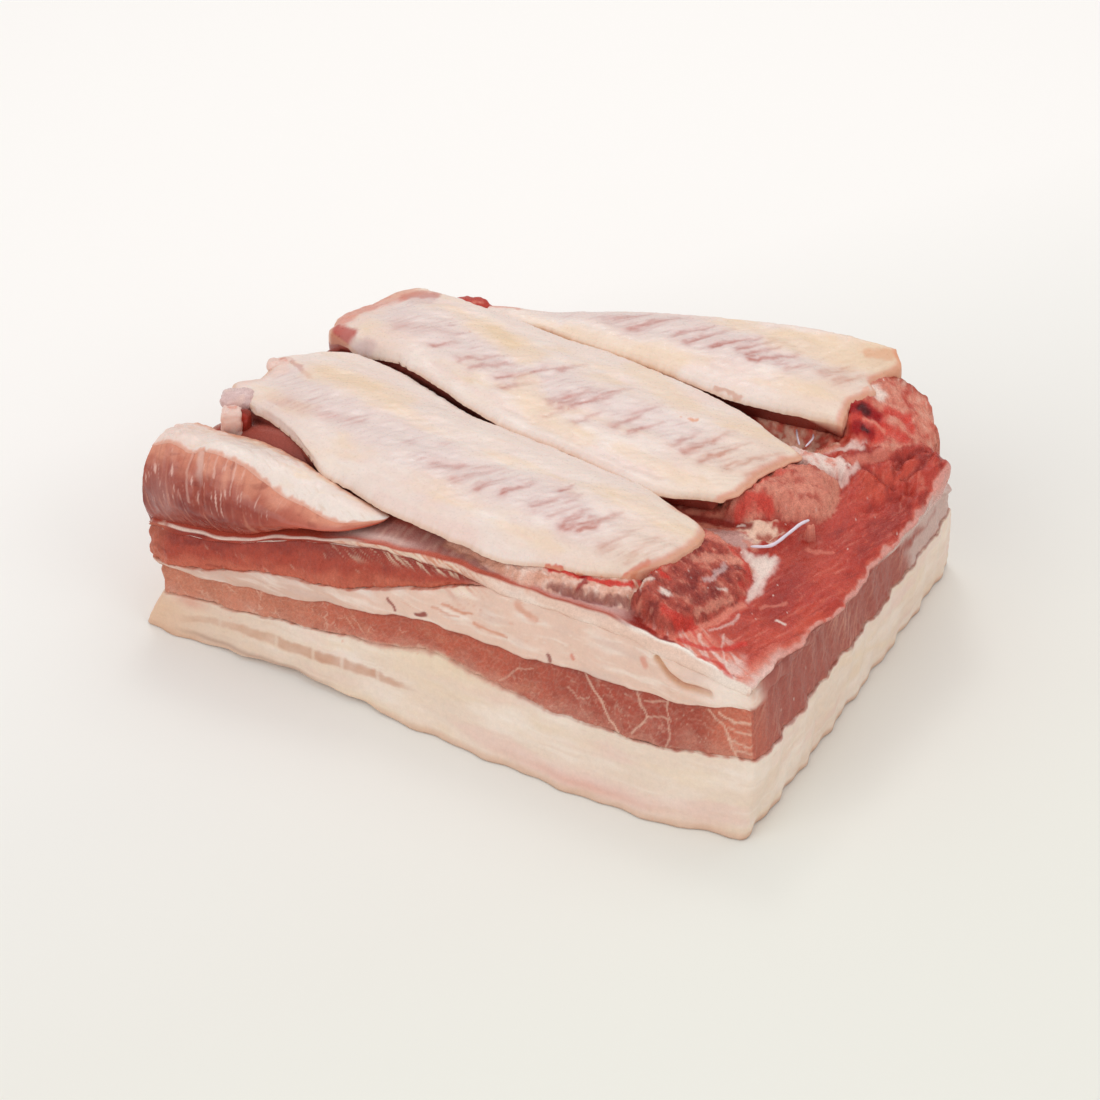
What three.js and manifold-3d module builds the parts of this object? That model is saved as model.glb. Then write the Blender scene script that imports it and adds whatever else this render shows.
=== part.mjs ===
// A slab of raw pork belly on the bone, lying skin side down.
// Units are millimetres, +Z is up. X runs along the ribs, Y runs from the long cut face in front to the back.
// The slab is a stack of layers that meet at shared levels, with a folded flap of meat at the front left corner and
// three ribs under their membrane on top. Every piece is a box of faces bent to its form.
import * as THREE from "three";
import { mergeVertices } from "three/addons/utils/BufferGeometryUtils.js";
import Module from "manifold-3d";

const wasm = await Module();
wasm.setup();

// ---- driving sizes -------------------------------------------------------------------------------------------------
const HALF_LENGTH = 100; // half of the slab's length along the ribs
const HALF_WIDTH = 70; // half of its width, about
const MIDDLE_Y = -3; // where the front half of the slab meets the back half
const CLEARANCE = 0.3; // free space between two neighbouring pieces
const CORNER_PULL = 0.022; // share by which each upright corner is rounded in

const LENGTH_FACES = 32; // faces along the whole length of a layer
const WIDTH_FACES = 10; // faces across a layer
const WALL_FACES = 2; // faces up the wall of a layer
const STREAK_FACES = 18; // faces along the upper lean, which ends before the right side
const STREAK_END = -1 + (2 * STREAK_FACES) / LENGTH_FACES; // where the upper lean runs out, as a share of the length

// ---- shared helpers ------------------------------------------------------------------------------------------------
const { lerp, clamp, smoothstep } = THREE.MathUtils;

/** A smooth curve through evenly spaced values, read by a share from 0 at the first to 1 at the last. */
function profile(...values) {
  const curve = new THREE.SplineCurve(values.map((value, i) => new THREE.Vector2(i, value)));
  return (share) => curve.getPoint(clamp(share, 0, 1)).y;
}

/** Turns a place from -1 to 1 into a share from 0 to 1. */
const shareOf = (place) => (place + 1) / 2;

/** Crowds the places across the slab towards its front and back edges, where its form changes fastest. */
const crowd = (b) => 1.5 * b - 0.5 * b ** 3;

// ---- the outline of the slab ---------------------------------------------------------------------------------------
// The long front cut leans back as it rises: where it stands on the table, and how far it leans for each mm of height.
const frontFoot = profile(-72, -72, -72.3, -73.5, -75.5, -77, -78, -77.3, -73);
const frontLean = profile(0.26, 0.26, 0.27, 0.3, 0.34, 0.37, 0.38, 0.34, 0.22);
const backFoot = profile(76, 78, 80, 80, 77);
const backLean = profile(-0.02, 0.02, 0.05, 0.06, -0.02);

/** The ragged edge that a knife leaves in meat: a few waves, in mm, shifted from level to level by the phase. */
const ragged = (place, phase) => 0.45 * Math.sin(23 * place + 2.1 * phase) + 0.3 * Math.sin(51 * place + 4.7 * phase);
const PHASE = [0, 1, 2, 3, 3, 4];

// Half lengths of each level at the left and at the right cut, from the front corner to the back corner.
const LEFT_REACH = [
  profile(100, 97.5, 97, 97.5, 98),
  profile(95.5, 96.5, 97, 97.5, 97.5),
  profile(99.5, 98.5, 97.5, 97.5, 97),
  profile(99, 98.5, 98, 97, 96.5),
  profile(98.5, 99, 98, 96, 95),
  profile(98.5, 97, 96, 94, 90),
];
const RIGHT_REACH = [
  profile(100, 100.5, 100.5, 100, 98),
  profile(101.5, 101, 101, 100.5, 97.5),
  profile(97, 97, 97.5, 98, 96),
  profile(95, 96, 97, 98.5, 95),
  profile(95, 96, 97, 98.5, 95),
  profile(94.5, 101.5, 101.5, 103.5, 98),
];

// ---- heights of the levels, front edge to back edge ----------------------------------------------------------------
const between = (front, back) => (u, v) => lerp(front(shareOf(u)), back(shareOf(u)), shareOf(v));

const fatTop = between(profile(12, 13.8, 16, 19, 22.8, 20.2, 19.5, 20.5, 24), profile(16, 17, 18, 19, 21));
const lowerLeanTop = between(profile(20, 21.5, 23.8, 28, 31.8, 31.3, 33.2, 33.8, 37.5), profile(25, 27, 29, 31, 36));
const streakTop = between(profile(31.5, 33.5, 41, 46, 47, 46, 46.5, 45, 42), profile(38, 40, 41.5, 42, 40));
const streakThickness = (u, v) => {
  const share = (u + 1) / (STREAK_END + 1);
  const front = profile(10.8, 9.6, 9.3, 12.7, 12, 6.5, 0.8)(share);
  const back = profile(9, 9, 9, 8, 6.5, 4, 0.8)(share);
  return share > 1 ? 0 : lerp(front, back, shareOf(v));
};

// The bed that the ribs lie in: a thin seam at the front edge, a broad level bed, and a slope down to the right cut.
const seam = profile(1.2, 1.2, 1.2, 1.5, 2.5, 3, 3, 3, 3.5);
const bed = profile(49, 51, 51.5, 51.5, 51.5, 51.5, 51.3, 48.3, 44.2);
const bedBackEdge = profile(46, 46, 46.5, 50, 52, 54, 56, 55, 45);
const bedRise = profile(34, 34, 30, 22, 17, 16, 18, 24, 30); // distance over which the bed rises from the seam
const BACK_FALL = crowd(0.4); // where the bed starts to change towards its back edge

const bedTop = (u, v) => {
  const t = shareOf(u);
  const fromFront = (MIDDLE_Y - frontFoot(t)) * (1 + v);
  const front = lerp(streakTop(u, v) + seam(t), bed(t), v < 0 ? clamp(fromFront / bedRise(t), 0, 1) : 1);
  return lerp(front, bedBackEdge(t), clamp((v - BACK_FALL) / (1 - BACK_FALL), 0, 1));
};

// The skin's edge curls up a little from the table along the left half of the front.
const CURL = { height: 2.2, centre: -0.45, reach: 0.42, depth: 0.2 };
const underside = (u, v) => {
  const along = Math.max(0, 1 - ((u - CURL.centre) / CURL.reach) ** 2);
  const across = Math.max(0, 1 - (1 + v) / CURL.depth);
  return CURL.height * along * along * across * across;
};

const streakBottom = (u, v) => streakTop(u, v) - streakThickness(u, v);
const LEVEL_HEIGHT = [underside, fatTop, lowerLeanTop, streakBottom, streakTop, bedTop];
const BED = LEVEL_HEIGHT.length - 1;

/** The point of a level at u, v, both from -1 to 1: x and y on the slab's outline at that level, z on its surface. */
function levelPoint(level, u, v) {
  const z = LEVEL_HEIGHT[level](u, v);
  const t = shareOf(u);
  const s = shareOf(v);
  const frontY = frontFoot(t) + frontLean(t) * LEVEL_HEIGHT[level](u, -1);
  const backY = backFoot(t) + backLean(t) * LEVEL_HEIGHT[level](u, 1);
  const reach = u < 0 ? LEFT_REACH[level](s) : RIGHT_REACH[level](s);
  const roundX = 1 - CORNER_PULL * Math.abs(v) ** 9;
  const roundY = 1 - CORNER_PULL * Math.abs(u) ** 9;
  const x = u * (reach + ragged(v, PHASE[level])) * roundX;
  const y = v < 0 ? MIDDLE_Y - v * (frontY + ragged(u, PHASE[level]) - MIDDLE_Y) * roundY : MIDDLE_Y + v * (backY - MIDDLE_Y) * roundY;
  return new THREE.Vector3(x, y, z);
}

// ---- making solids -------------------------------------------------------------------------------------------------
/** A closed box of faces whose every corner a, b, c (-1 to 1 along x, y, z) is moved to place(a, b, c). */
function bentBox(alongX, alongY, alongZ, place) {
  const box = new THREE.BoxGeometry(2, 2, 2, alongX, alongY, alongZ);
  box.deleteAttribute("normal");
  box.deleteAttribute("uv");
  const geometry = mergeVertices(box);
  const corner = geometry.getAttribute("position");
  for (let i = 0; i < corner.count; i++) {
    const moved = place(corner.getX(i), corner.getY(i), corner.getZ(i));
    corner.setXYZ(i, moved.x, moved.y, moved.z);
  }
  geometry.computeVertexNormals();
  return geometry;
}

/** One layer between two levels. Its walls bulge out by bulge mm half way up, or sink in where bulge is negative. */
function layerGeometry(lower, upper, bulge, alongX = LENGTH_FACES, endU = 1) {
  return bentBox(alongX, WIDTH_FACES, WALL_FACES, (a, b, c) => {
    const u = lerp(-1, endU, shareOf(a));
    const v = crowd(b);
    const low = levelPoint(lower, u, v);
    const high = levelPoint(upper, u, v);
    low.z += lower > 0 ? CLEARANCE / 2 : 0;
    high.z -= upper < BED ? CLEARANCE / 2 : 0;
    const point = low.lerp(high, shareOf(c));
    const out = bulge * (1 - c * c);
    if (Math.abs(u) === 1) point.x += Math.sign(u) * out;
    if (Math.abs(v) === 1) point.y += Math.sign(v) * out;
    return point;
  });
}

/** The height of the bed above the point x, y, found by stepping to the u, v that lie there. */
function bedAt(x, y) {
  let u = x / HALF_LENGTH;
  let v = y / HALF_WIDTH;
  for (let step = 0; step < 8; step++) {
    const here = levelPoint(BED, u, v);
    u = clamp(u + (x - here.x) / HALF_LENGTH, -1, 1);
    v = clamp(v + (y - here.y) / HALF_WIDTH, -1, 1);
  }
  return bedTop(u, v);
}

// ---- ribs ----------------------------------------------------------------------------------------------------------
const RIB_FACES = { along: 24, across: 8, up: 2 };
const RIB_CLEARANCE = 0.5; // between a rib and the bed, whose faces don't line up with the rib's
const LIP = { share: 0.5, lift: 2.2 }; // the membrane's edge stands clear of the bed outside this share of the width

/** A rib under its membrane: a long leaf with a crowned top and thin lips. Left and right hold x at front and back. */
function ribGeometry({ left, right, front, back, crest, frontEdge, backEdge, lipLift = LIP.lift }) {
  return bentBox(RIB_FACES.along, RIB_FACES.across, RIB_FACES.up, (a, b, c) => {
    const t = shareOf(a);
    const x = lerp(lerp(...left, shareOf(b)), lerp(...right, shareOf(b)), t);
    const y = lerp(front(t), back(t), shareOf(b));
    const edge = b < 0 ? frontEdge(t) : backEdge(t);
    const top = edge + (crest(t) - edge) * (1 - Math.abs(b) ** 2.4);
    const lift = b < 0 ? lipLift * smoothstep(-b, LIP.share, 1) : 0;
    const bottom = Math.min(bedAt(x, y) + RIB_CLEARANCE + lift, top - 1.2);
    return new THREE.Vector3(x, y, lerp(bottom, top, shareOf(c)));
  });
}

const RIBS = {
  rib_1: {
    left: [-103, -98],
    right: [67, 78],
    front: profile(-22, -29, -38, -46.5, -52.5, -55.5, -55, -53, -50),
    back: profile(-6, 15.5, 11, 5, 3, -0.5, -4.5, -11.5, -22),
    crest: profile(55.5, 59, 60, 60, 60.5, 60.5, 60.5, 58.5, 52),
    frontEdge: profile(53.5, 54, 54, 54, 53.5, 53, 53, 52, 50.8),
    backEdge: profile(54, 56, 56.5, 56.5, 56.5, 56.5, 56, 54, 51.3),
  },
  rib_2: {
    left: [-92, -93],
    right: [69, 85],
    front: profile(17, 18, 13, 8, 5.8, 3, 0, -2, 0),
    back: profile(50, 58, 57, 57, 56, 53, 47, 35, 26),
    crest: profile(56, 61, 61.5, 61.5, 61.5, 61, 60.5, 59, 52.5),
    frontEdge: profile(54, 57, 57, 57, 57, 57, 56.5, 55, 52),
    backEdge: profile(53, 57, 57.5, 58, 58, 57.5, 56.5, 54, 51),
    lipLift: 0,
  },
  rib_3: {
    left: [-74, -70],
    right: [97, 89],
    front: profile(60, 58.8, 58.5, 58, 55.5, 51.5, 47.5, 50, 62),
    back: profile(70, 75, 77.5, 79, 80.5, 82, 83, 80.5, 72),
    crest: profile(53, 58, 59.5, 61.5, 63, 64.5, 66, 65, 52),
    frontEdge: profile(52, 57, 57.5, 58, 58, 58, 57.5, 56, 49),
    backEdge: profile(50, 51, 54.5, 59, 61, 62.5, 64.5, 64, 50),
    lipLift: 0,
  },
};

// Two stubs of cartilage stand out from the left end of the first rib.
const STUBS = [
  { size: [9, 9, 8], at: [-92.5, -27.5, 55], turn: 0.45 },
  { size: [9, 7, 5.5], at: [-94, -2, 56.5], turn: 0.5 },
];
const STUB_FACES = 3;

/** A small block with swollen sides. */
function stubGeometry({ size, at, turn }) {
  const swell = (p, q) => 1 + 0.12 * (1 - p * p) * (1 - q * q);
  const block = bentBox(STUB_FACES, STUB_FACES, STUB_FACES, (a, b, c) => {
    const point = new THREE.Vector3(a * swell(b, c), b * swell(a, c), c * swell(a, b));
    return point.multiply(new THREE.Vector3(...size).multiplyScalar(0.5));
  });
  return block.rotateZ(turn).translate(...at);
}

function toManifold(geometry) {
  const merged = mergeVertices(new THREE.BufferGeometry().setIndex(geometry.index).setAttribute("position", geometry.getAttribute("position")));
  return new wasm.Manifold(
    new wasm.Mesh({
      numProp: 3,
      vertProperties: new Float32Array(merged.getAttribute("position").array),
      triVerts: new Uint32Array(merged.index.array),
    }),
  );
}

function fromManifold(solid) {
  const mesh = solid.getMesh();
  const geometry = new THREE.BufferGeometry();
  geometry.setAttribute("position", new THREE.BufferAttribute(mesh.vertProperties, 3));
  geometry.setIndex(new THREE.BufferAttribute(mesh.triVerts, 1));
  geometry.computeVertexNormals();
  return geometry;
}

/** The first geometry joined with the others into one solid. */
function fuse(first, ...others) {
  return fromManifold(others.reduce((solid, other) => solid.add(toManifold(other)), toManifold(first)));
}

// ---- the folded flap at the front left -----------------------------------------------------------------------------
const FLAP = {
  left: -103,
  right: -28,
  front: profile(-59.5, -59.5, -59, -57.5, -56),
  back: profile(-34, -38.5, -42.5, -48.5, -51.5),
  frontTop: profile(58, 60, 60, 56, 51.8, 52, 50.6),
  backTop: profile(52, 52.5, 52, 51.8, 50.8),
  fatThickness: profile(3.5, 4, 3, 1.8, 0.8),
};
const FLAP_FACES = { along: 12, across: 6, up: 3 };
const FLAP_BELLY = 2.2; // how far the flap's cut face swells out

const flapTop = (t, s) => lerp(FLAP.frontTop(t), FLAP.backTop(t), smoothstep(s, 0, 1));

/** The muscle of the flap, from the seam on the bed up to its sloping top. */
function flapLeanGeometry() {
  return bentBox(FLAP_FACES.along, FLAP_FACES.across, FLAP_FACES.up, (a, b, c) => {
    const t = shareOf(a);
    const s = shareOf(b);
    const x = lerp(FLAP.left, FLAP.right, t);
    const foot = levelPoint(BED, x / HALF_LENGTH, -1).y + 0.6;
    const front = lerp(foot, FLAP.front(t), shareOf(c)) - FLAP_BELLY * (1 - c * c);
    const y = lerp(front, FLAP.back(t), s);
    const top = flapTop(t, s);
    const bottom = Math.min(bedAt(x, y) + RIB_CLEARANCE + 0.2, top - 0.8);
    return new THREE.Vector3(x, y, lerp(bottom, top, shareOf(c)));
  });
}

/** The fat that covers the flap, thin at the cut and thick towards the ribs. */
function flapFatGeometry() {
  return bentBox(FLAP_FACES.along, FLAP_FACES.across, 1, (a, b, c) => {
    const t = shareOf(a);
    const s = shareOf(b);
    const x = lerp(FLAP.left, FLAP.right, t);
    const y = lerp(FLAP.front(t), FLAP.back(t), s);
    const low = flapTop(t, s) + 1.5 * CLEARANCE;
    return new THREE.Vector3(x, y, low + (c > 0 ? 0.8 + FLAP.fatThickness(t) * Math.sin(Math.PI * (0.15 + 0.6 * s)) : 0));
  });
}

// ---- colours and assembly ------------------------------------------------------------------------------------------
const finish = (color, roughness) => new THREE.MeshStandardMaterial({ color, roughness, metalness: 0 });
const FINISHES = {
  fat: finish(0xdec8b8, 0.45),
  lean: finish(0xb06e5a, 0.4),
  redLean: finish(0xb25a48, 0.38),
  redMeat: finish(0xc05a4c, 0.35),
  membrane: finish(0xead6c8, 0.35),
};

function piece(name, geometry, material) {
  const mesh = new THREE.Mesh(geometry, material);
  mesh.name = name;
  return mesh;
}

const slab = new THREE.Group();
slab.add(
  piece("fat_cap", layerGeometry(0, 1, 0.5), FINISHES.fat),
  piece("lean_lower", layerGeometry(1, 2, -0.5), FINISHES.lean),
  piece("fat_middle", layerGeometry(2, 3, 0.5), FINISHES.fat),
  piece("lean_upper", layerGeometry(3, 4, 0.9, STREAK_FACES, STREAK_END), FINISHES.redLean),
  piece("rib_meat", layerGeometry(4, BED, 0.4), FINISHES.redMeat),
  piece("flap_lean", flapLeanGeometry(), FINISHES.lean),
  piece("flap_fat", flapFatGeometry(), FINISHES.fat),
);
for (const [name, sizes] of Object.entries(RIBS)) {
  const bare = ribGeometry(sizes);
  const geometry = name === "rib_1" ? fuse(bare, ...STUBS.map(stubGeometry)) : bare;
  slab.add(piece(name, geometry, FINISHES.membrane));
}

// The origin is on the table, under the middle of the slab's box.
const box = new THREE.Box3().setFromObject(slab);
const middle = box.getCenter(new THREE.Vector3());
slab.position.set(-middle.x, -middle.y, -box.min.z);

const part = new THREE.Group();
part.add(slab);
export default part;
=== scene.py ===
"""Looks of a raw slab of pork belly on the bone, lying skin side down.

Every piece is a surface worked out with numpy in millimetres, in the same design frame as the solids, and moved into
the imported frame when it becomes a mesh. Colour and wetness are laid on point by point by functions of the place on
the slab, so that neighbouring layers share one grown-together look, and each finish adds fine grain in its nodes.
"""

from __future__ import annotations

import logging
import math
from dataclasses import dataclass
from enum import IntEnum
from typing import Callable, Sequence

import bpy
import numpy as np
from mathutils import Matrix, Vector

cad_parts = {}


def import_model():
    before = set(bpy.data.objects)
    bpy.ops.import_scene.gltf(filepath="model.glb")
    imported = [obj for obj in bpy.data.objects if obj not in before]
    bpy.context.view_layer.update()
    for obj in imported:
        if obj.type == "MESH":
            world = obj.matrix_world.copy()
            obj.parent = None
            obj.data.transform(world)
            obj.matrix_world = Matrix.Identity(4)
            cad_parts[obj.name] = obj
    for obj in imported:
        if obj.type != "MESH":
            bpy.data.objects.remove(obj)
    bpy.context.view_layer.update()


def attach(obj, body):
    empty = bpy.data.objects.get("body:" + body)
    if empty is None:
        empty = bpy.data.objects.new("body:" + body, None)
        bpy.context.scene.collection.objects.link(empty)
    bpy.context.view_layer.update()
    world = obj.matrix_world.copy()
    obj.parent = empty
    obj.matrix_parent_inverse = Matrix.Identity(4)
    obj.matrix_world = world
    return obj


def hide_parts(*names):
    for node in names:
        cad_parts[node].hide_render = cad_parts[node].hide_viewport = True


log = logging.getLogger("pork_belly")

Array = np.ndarray
Profile = Callable[[Array], Array]
Line = Sequence[tuple[float, float]]
MM = 0.001
BODY = "root"


# ---- small curves ---------------------------------------------------------------------------------------------------
def profile(*values: float) -> Profile:
    """A smooth curve through evenly spaced values.

    Between two values it is the cubic a + b w + c w^2 + d w^3 whose slopes are half the difference of the
    neighbours on each side, with the end values repeated past the ends.

    Args:
        values: heights at evenly spaced shares from 0 to 1.

    Returns:
        A function from a share to the curve's value.
    """
    knots = np.asarray(values, float)
    last = len(knots) - 1

    def curve(share: Array) -> Array:
        """The curve at a share from 0 to 1."""
        place = np.clip(np.asarray(share, float), 0, 1) * last
        cell = np.minimum(place.astype(int), last - 1)
        w = place - cell
        before, here = knots[np.maximum(cell - 1, 0)], knots[cell]
        there, after = knots[cell + 1], knots[np.minimum(cell + 2, last)]
        rise_here, rise_there = (there - before) / 2, (after - here) / 2
        return (
            here
            + rise_here * w
            + (3 * (there - here) - 2 * rise_here - rise_there) * w**2
            + (2 * (here - there) + rise_here + rise_there) * w**3
        )

    return curve


def step(value: Array, low: float | Array, high: float | Array) -> Array:
    """0 below low, 1 above high, and 3w^2 - 2w^3 between them."""
    w = np.clip((value - low) / (high - low), 0, 1)
    return w * w * (3 - 2 * w)


def mix(first: Array, second: Array, share: Array) -> Array:
    """The straight blend from first, at share 0, to second, at share 1."""
    return first + (second - first) * share


def bell(value: Array, centre: float | Array, reach: float | Array) -> Array:
    """1 at the centre, falling as exp(-d^2) where d is the distance in reaches."""
    return np.exp(-(((value - centre) / reach) ** 2))


def fade(value: Array, low: float | Array, high: float | Array) -> Array:
    """1 below low, 0 above high, and the same soft way down between them as step has up."""
    return 1 - step(value, low, high)


def between(value: Array, low: float | Array, high: float | Array, soft: float | Array) -> Array:
    """1 between low and high, fading to 0 over a band that reaches soft to each side of both."""
    return step(value, low - soft, low + soft) * fade(value, high - soft, high + soft)


def line_distance(x: Array, y: Array, points: Line) -> Array:
    """The distance from each x, y to the nearest straight stretch of an open line.

    Args:
        x: first coordinate of the points asked about.
        y: second coordinate.
        points: corners of the line.

    Returns:
        Distances, in the coordinates' unit.
    """
    nearest = np.full(np.shape(x), np.inf)
    for (ax, ay), (bx, by) in zip(points[:-1], points[1:]):
        dx, dy = bx - ax, by - ay
        w = np.clip(((x - ax) * dx + (y - ay) * dy) / (dx * dx + dy * dy), 0, 1)
        nearest = np.minimum(nearest, np.hypot(x - ax - w * dx, y - ay - w * dy))
    return nearest


def inside_depth(x: Array, y: Array, outline: Line) -> Array:
    """How far each x, y lies inside a closed outline, below 0 outside it.

    A point is inside when a straight line from it crosses the outline an odd number of times.

    Args:
        x: first coordinate of the points asked about.
        y: second coordinate.
        outline: corners of the outline.

    Returns:
        Distances to the outline, in the coordinates' unit.
    """
    ring = (*outline, outline[0])
    inside = np.zeros(np.shape(x), bool)
    for (ax, ay), (bx, by) in zip(ring[:-1], ring[1:]):
        if ay != by:
            inside ^= ((ay > y) != (by > y)) & (x < (bx - ax) * (y - ay) / (by - ay) + ax)
    return np.where(inside, 1, -1) * line_distance(x, y, ring)


# ---- noise ----------------------------------------------------------------------------------------------------------
class Grain:
    """Smooth random relief: a random slope at every whole-number point, faded into its neighbours' slopes."""

    GAIN = 1.7
    OCTAVE_SHIFT = 17.3

    def __init__(self, seed: int) -> None:
        """Draws the slopes and the order that picks them."""
        rng = np.random.default_rng(seed)
        self._order = np.tile(rng.permutation(256), 2)
        slopes = rng.normal(size=(256, 3))
        self._slopes = slopes / np.linalg.norm(slopes, axis=1, keepdims=True)

    def at(self, x: Array, y: Array, z: Array | float = 0.0) -> Array:
        """The sum over the corners of a point's cell of slope . offset, each weighted by 6w^5 - 15w^4 + 10w^3."""
        x, y, z = np.broadcast_arrays(np.asarray(x, float), np.asarray(y, float), np.asarray(z, float))
        place = np.stack([x, y, z])
        cell = np.floor(place).astype(np.int64)
        inside = place - cell
        fade = inside**3 * (inside * (inside * 6 - 15) + 10)
        cell &= 255
        total = np.zeros(x.shape)
        for i in (0, 1):
            for j in (0, 1):
                for k in (0, 1):
                    row = self._order[self._order[(cell[0] + i) & 255] + ((cell[1] + j) & 255)]
                    slope = self._slopes[self._order[row + ((cell[2] + k) & 255)]]
                    offset = slope[..., 0] * (inside[0] - i) + slope[..., 1] * (inside[1] - j)
                    offset = offset + slope[..., 2] * (inside[2] - k)
                    weight = np.where(i, fade[0], 1 - fade[0]) * np.where(j, fade[1], 1 - fade[1])
                    total += weight * np.where(k, fade[2], 1 - fade[2]) * offset
        return total * self.GAIN

    def layered(self, x: Array, y: Array, z: Array | float = 0.0, octaves: int = 3) -> Array:
        """Relief on relief: each octave is twice as fine and half as high as the one before."""
        total, size, scale = np.zeros(np.broadcast(x, y, z).shape), 1.0, 1.0
        for octave in range(octaves):
            shift = self.OCTAVE_SHIFT * octave
            total += size * self.at(np.asarray(x) * scale + shift, np.asarray(y) * scale - shift, np.asarray(z) * scale)
            size, scale = size / 2, scale * 2
        return total


GRAIN = Grain(11)
noise, layered = GRAIN.at, GRAIN.layered


def wobbled(x: Array, y: Array, amount: float, size: float) -> tuple[Array, Array]:
    """Places pushed about by up to an amount, in swells of a size, so that lines drawn at them come out uneven."""
    return x + amount * layered(x / size, y / size, 4.0), y + amount * layered(x / size, y / size, 14.0)


LATTICE = 64


def cells(x: Array, y: Array, seed: int) -> tuple[Array, Array, Array]:
    """Irregular cells, one round each point of a jittered lattice.

    Args:
        x: first coordinate, in cells.
        y: second coordinate, in cells.
        seed: picks the jitter.

    Returns:
        The distance to the nearest cell's middle, how much further the next one is, which is 0 on an edge, and the
        nearest cell's own tone from -1 to 1.
    """
    table = np.random.default_rng(seed).random((3, LATTICE, LATTICE))
    cx, cy = np.floor(x).astype(int), np.floor(y).astype(int)
    first, second = np.full(np.shape(x), np.inf), np.full(np.shape(x), np.inf)
    tone = np.zeros(np.shape(x))
    for i in (-1, 0, 1):
        for j in (-1, 0, 1):
            column, row = (cx + i) % LATTICE, (cy + j) % LATTICE
            distance = np.hypot(x - cx - i - table[0, column, row], y - cy - j - table[1, column, row])
            tone = np.where(distance < first, 2 * table[2, column, row] - 1, tone)
            second = np.minimum(second, np.maximum(first, distance))
            first = np.minimum(first, distance)
    return first, second - first, tone


# ---- colours --------------------------------------------------------------------------------------------------------
def tint(red: int, green: int, blue: int) -> Array:
    """A colour from its screen values, as linear light: ((c + 0.055) / 1.055)^2.4 above the foot of the curve."""
    share = np.array([red, green, blue]) / 255
    return np.where(share <= 0.04045, share / 12.92, ((share + 0.055) / 1.055) ** 2.4)


class Tone:
    """The slab's colours, by what they are on it."""

    FAT = tint(232, 210, 192)
    FAT_PINK = tint(232, 198, 186)
    FAT_WARM = tint(234, 210, 182)
    FAT_WHITE = tint(246, 233, 222)
    FAT_TIP = tint(228, 184, 150)
    FAT_STRING = tint(218, 188, 164)
    RIND = tint(212, 168, 140)
    RIND_EDGE = tint(146, 92, 66)
    SKIN = tint(226, 196, 176)
    STREAK = tint(202, 152, 126)
    STAIN = tint(216, 132, 110)
    LEAN_TAN = tint(194, 120, 94)
    LEAN_MID = tint(184, 90, 68)
    LEAN_RED = tint(164, 72, 56)
    LEAN_CORNER = tint(198, 108, 84)
    LEAN_SIDE = tint(166, 88, 76)
    LEAN_DARK = tint(140, 62, 48)
    LEAN_PALE = tint(204, 144, 124)
    SEAM = tint(243, 220, 206)
    MARBLE = tint(226, 184, 162)
    MID_FAT = tint(230, 196, 178)
    MID_FAT_LEFT = tint(214, 178, 160)
    MID_FAT_GREY = tint(210, 184, 174)
    FIBRE_ORANGE = tint(208, 128, 94)
    UPPER_DARK = tint(140, 48, 36)
    UPPER = tint(170, 68, 50)
    UPPER_LIGHT = tint(198, 104, 80)
    FLAP_DARK = tint(126, 42, 34)
    FLAP = tint(184, 96, 78)
    FLAP_LIGHT = tint(222, 150, 124)
    FLAP_GLEAM = tint(232, 186, 172)
    FLAP_FOOT = tint(200, 88, 64)
    PURPLE = tint(176, 124, 116)
    PURPLE_PALE = tint(200, 154, 146)
    # maroon meat of hollows, feet and undersides, darkened as their painted shade
    RECESS_MEAT_AND_SHADE = tint(160, 78, 66)
    SKIRT = tint(206, 146, 122)
    SKIRT_CREAM = tint(228, 176, 156)
    SKIRT_DARK = tint(176, 84, 66)
    SKIRT_PALE = tint(236, 190, 168)
    CREAM = tint(236, 216, 206)
    CREAM_WHITE = tint(242, 227, 218)
    CREAM_WARM = tint(238, 210, 184)
    CREAM_GOLD = tint(232, 200, 162)
    CREAM_PINK = tint(235, 206, 196)
    CREAM_GREY = tint(226, 206, 202)
    CREAM_LILAC = tint(216, 184, 180)
    STREAK_PINK = tint(186, 108, 96)
    STREAK_RED = tint(186, 92, 74)
    SPECK = tint(222, 142, 100)
    FOLD = tint(214, 160, 118)
    RED = tint(184, 64, 52)
    RED_DARK = tint(138, 40, 34)
    RED_BRIGHT = tint(206, 50, 40)
    RED_PALE = tint(226, 136, 116)
    RED_ORANGE = tint(212, 92, 70)
    BONE = tint(178, 78, 64)
    BONE_DARK = tint(124, 40, 36)
    BONE_PALE = tint(226, 150, 128)
    END_TAN = tint(214, 132, 112)
    BLOOD = tint(150, 8, 14)
    BLOOD_DARK = tint(64, 4, 10)
    SINEW = tint(240, 220, 208)
    THREAD = tint(226, 214, 226)
    CARTILAGE = tint(240, 203, 180)


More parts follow.
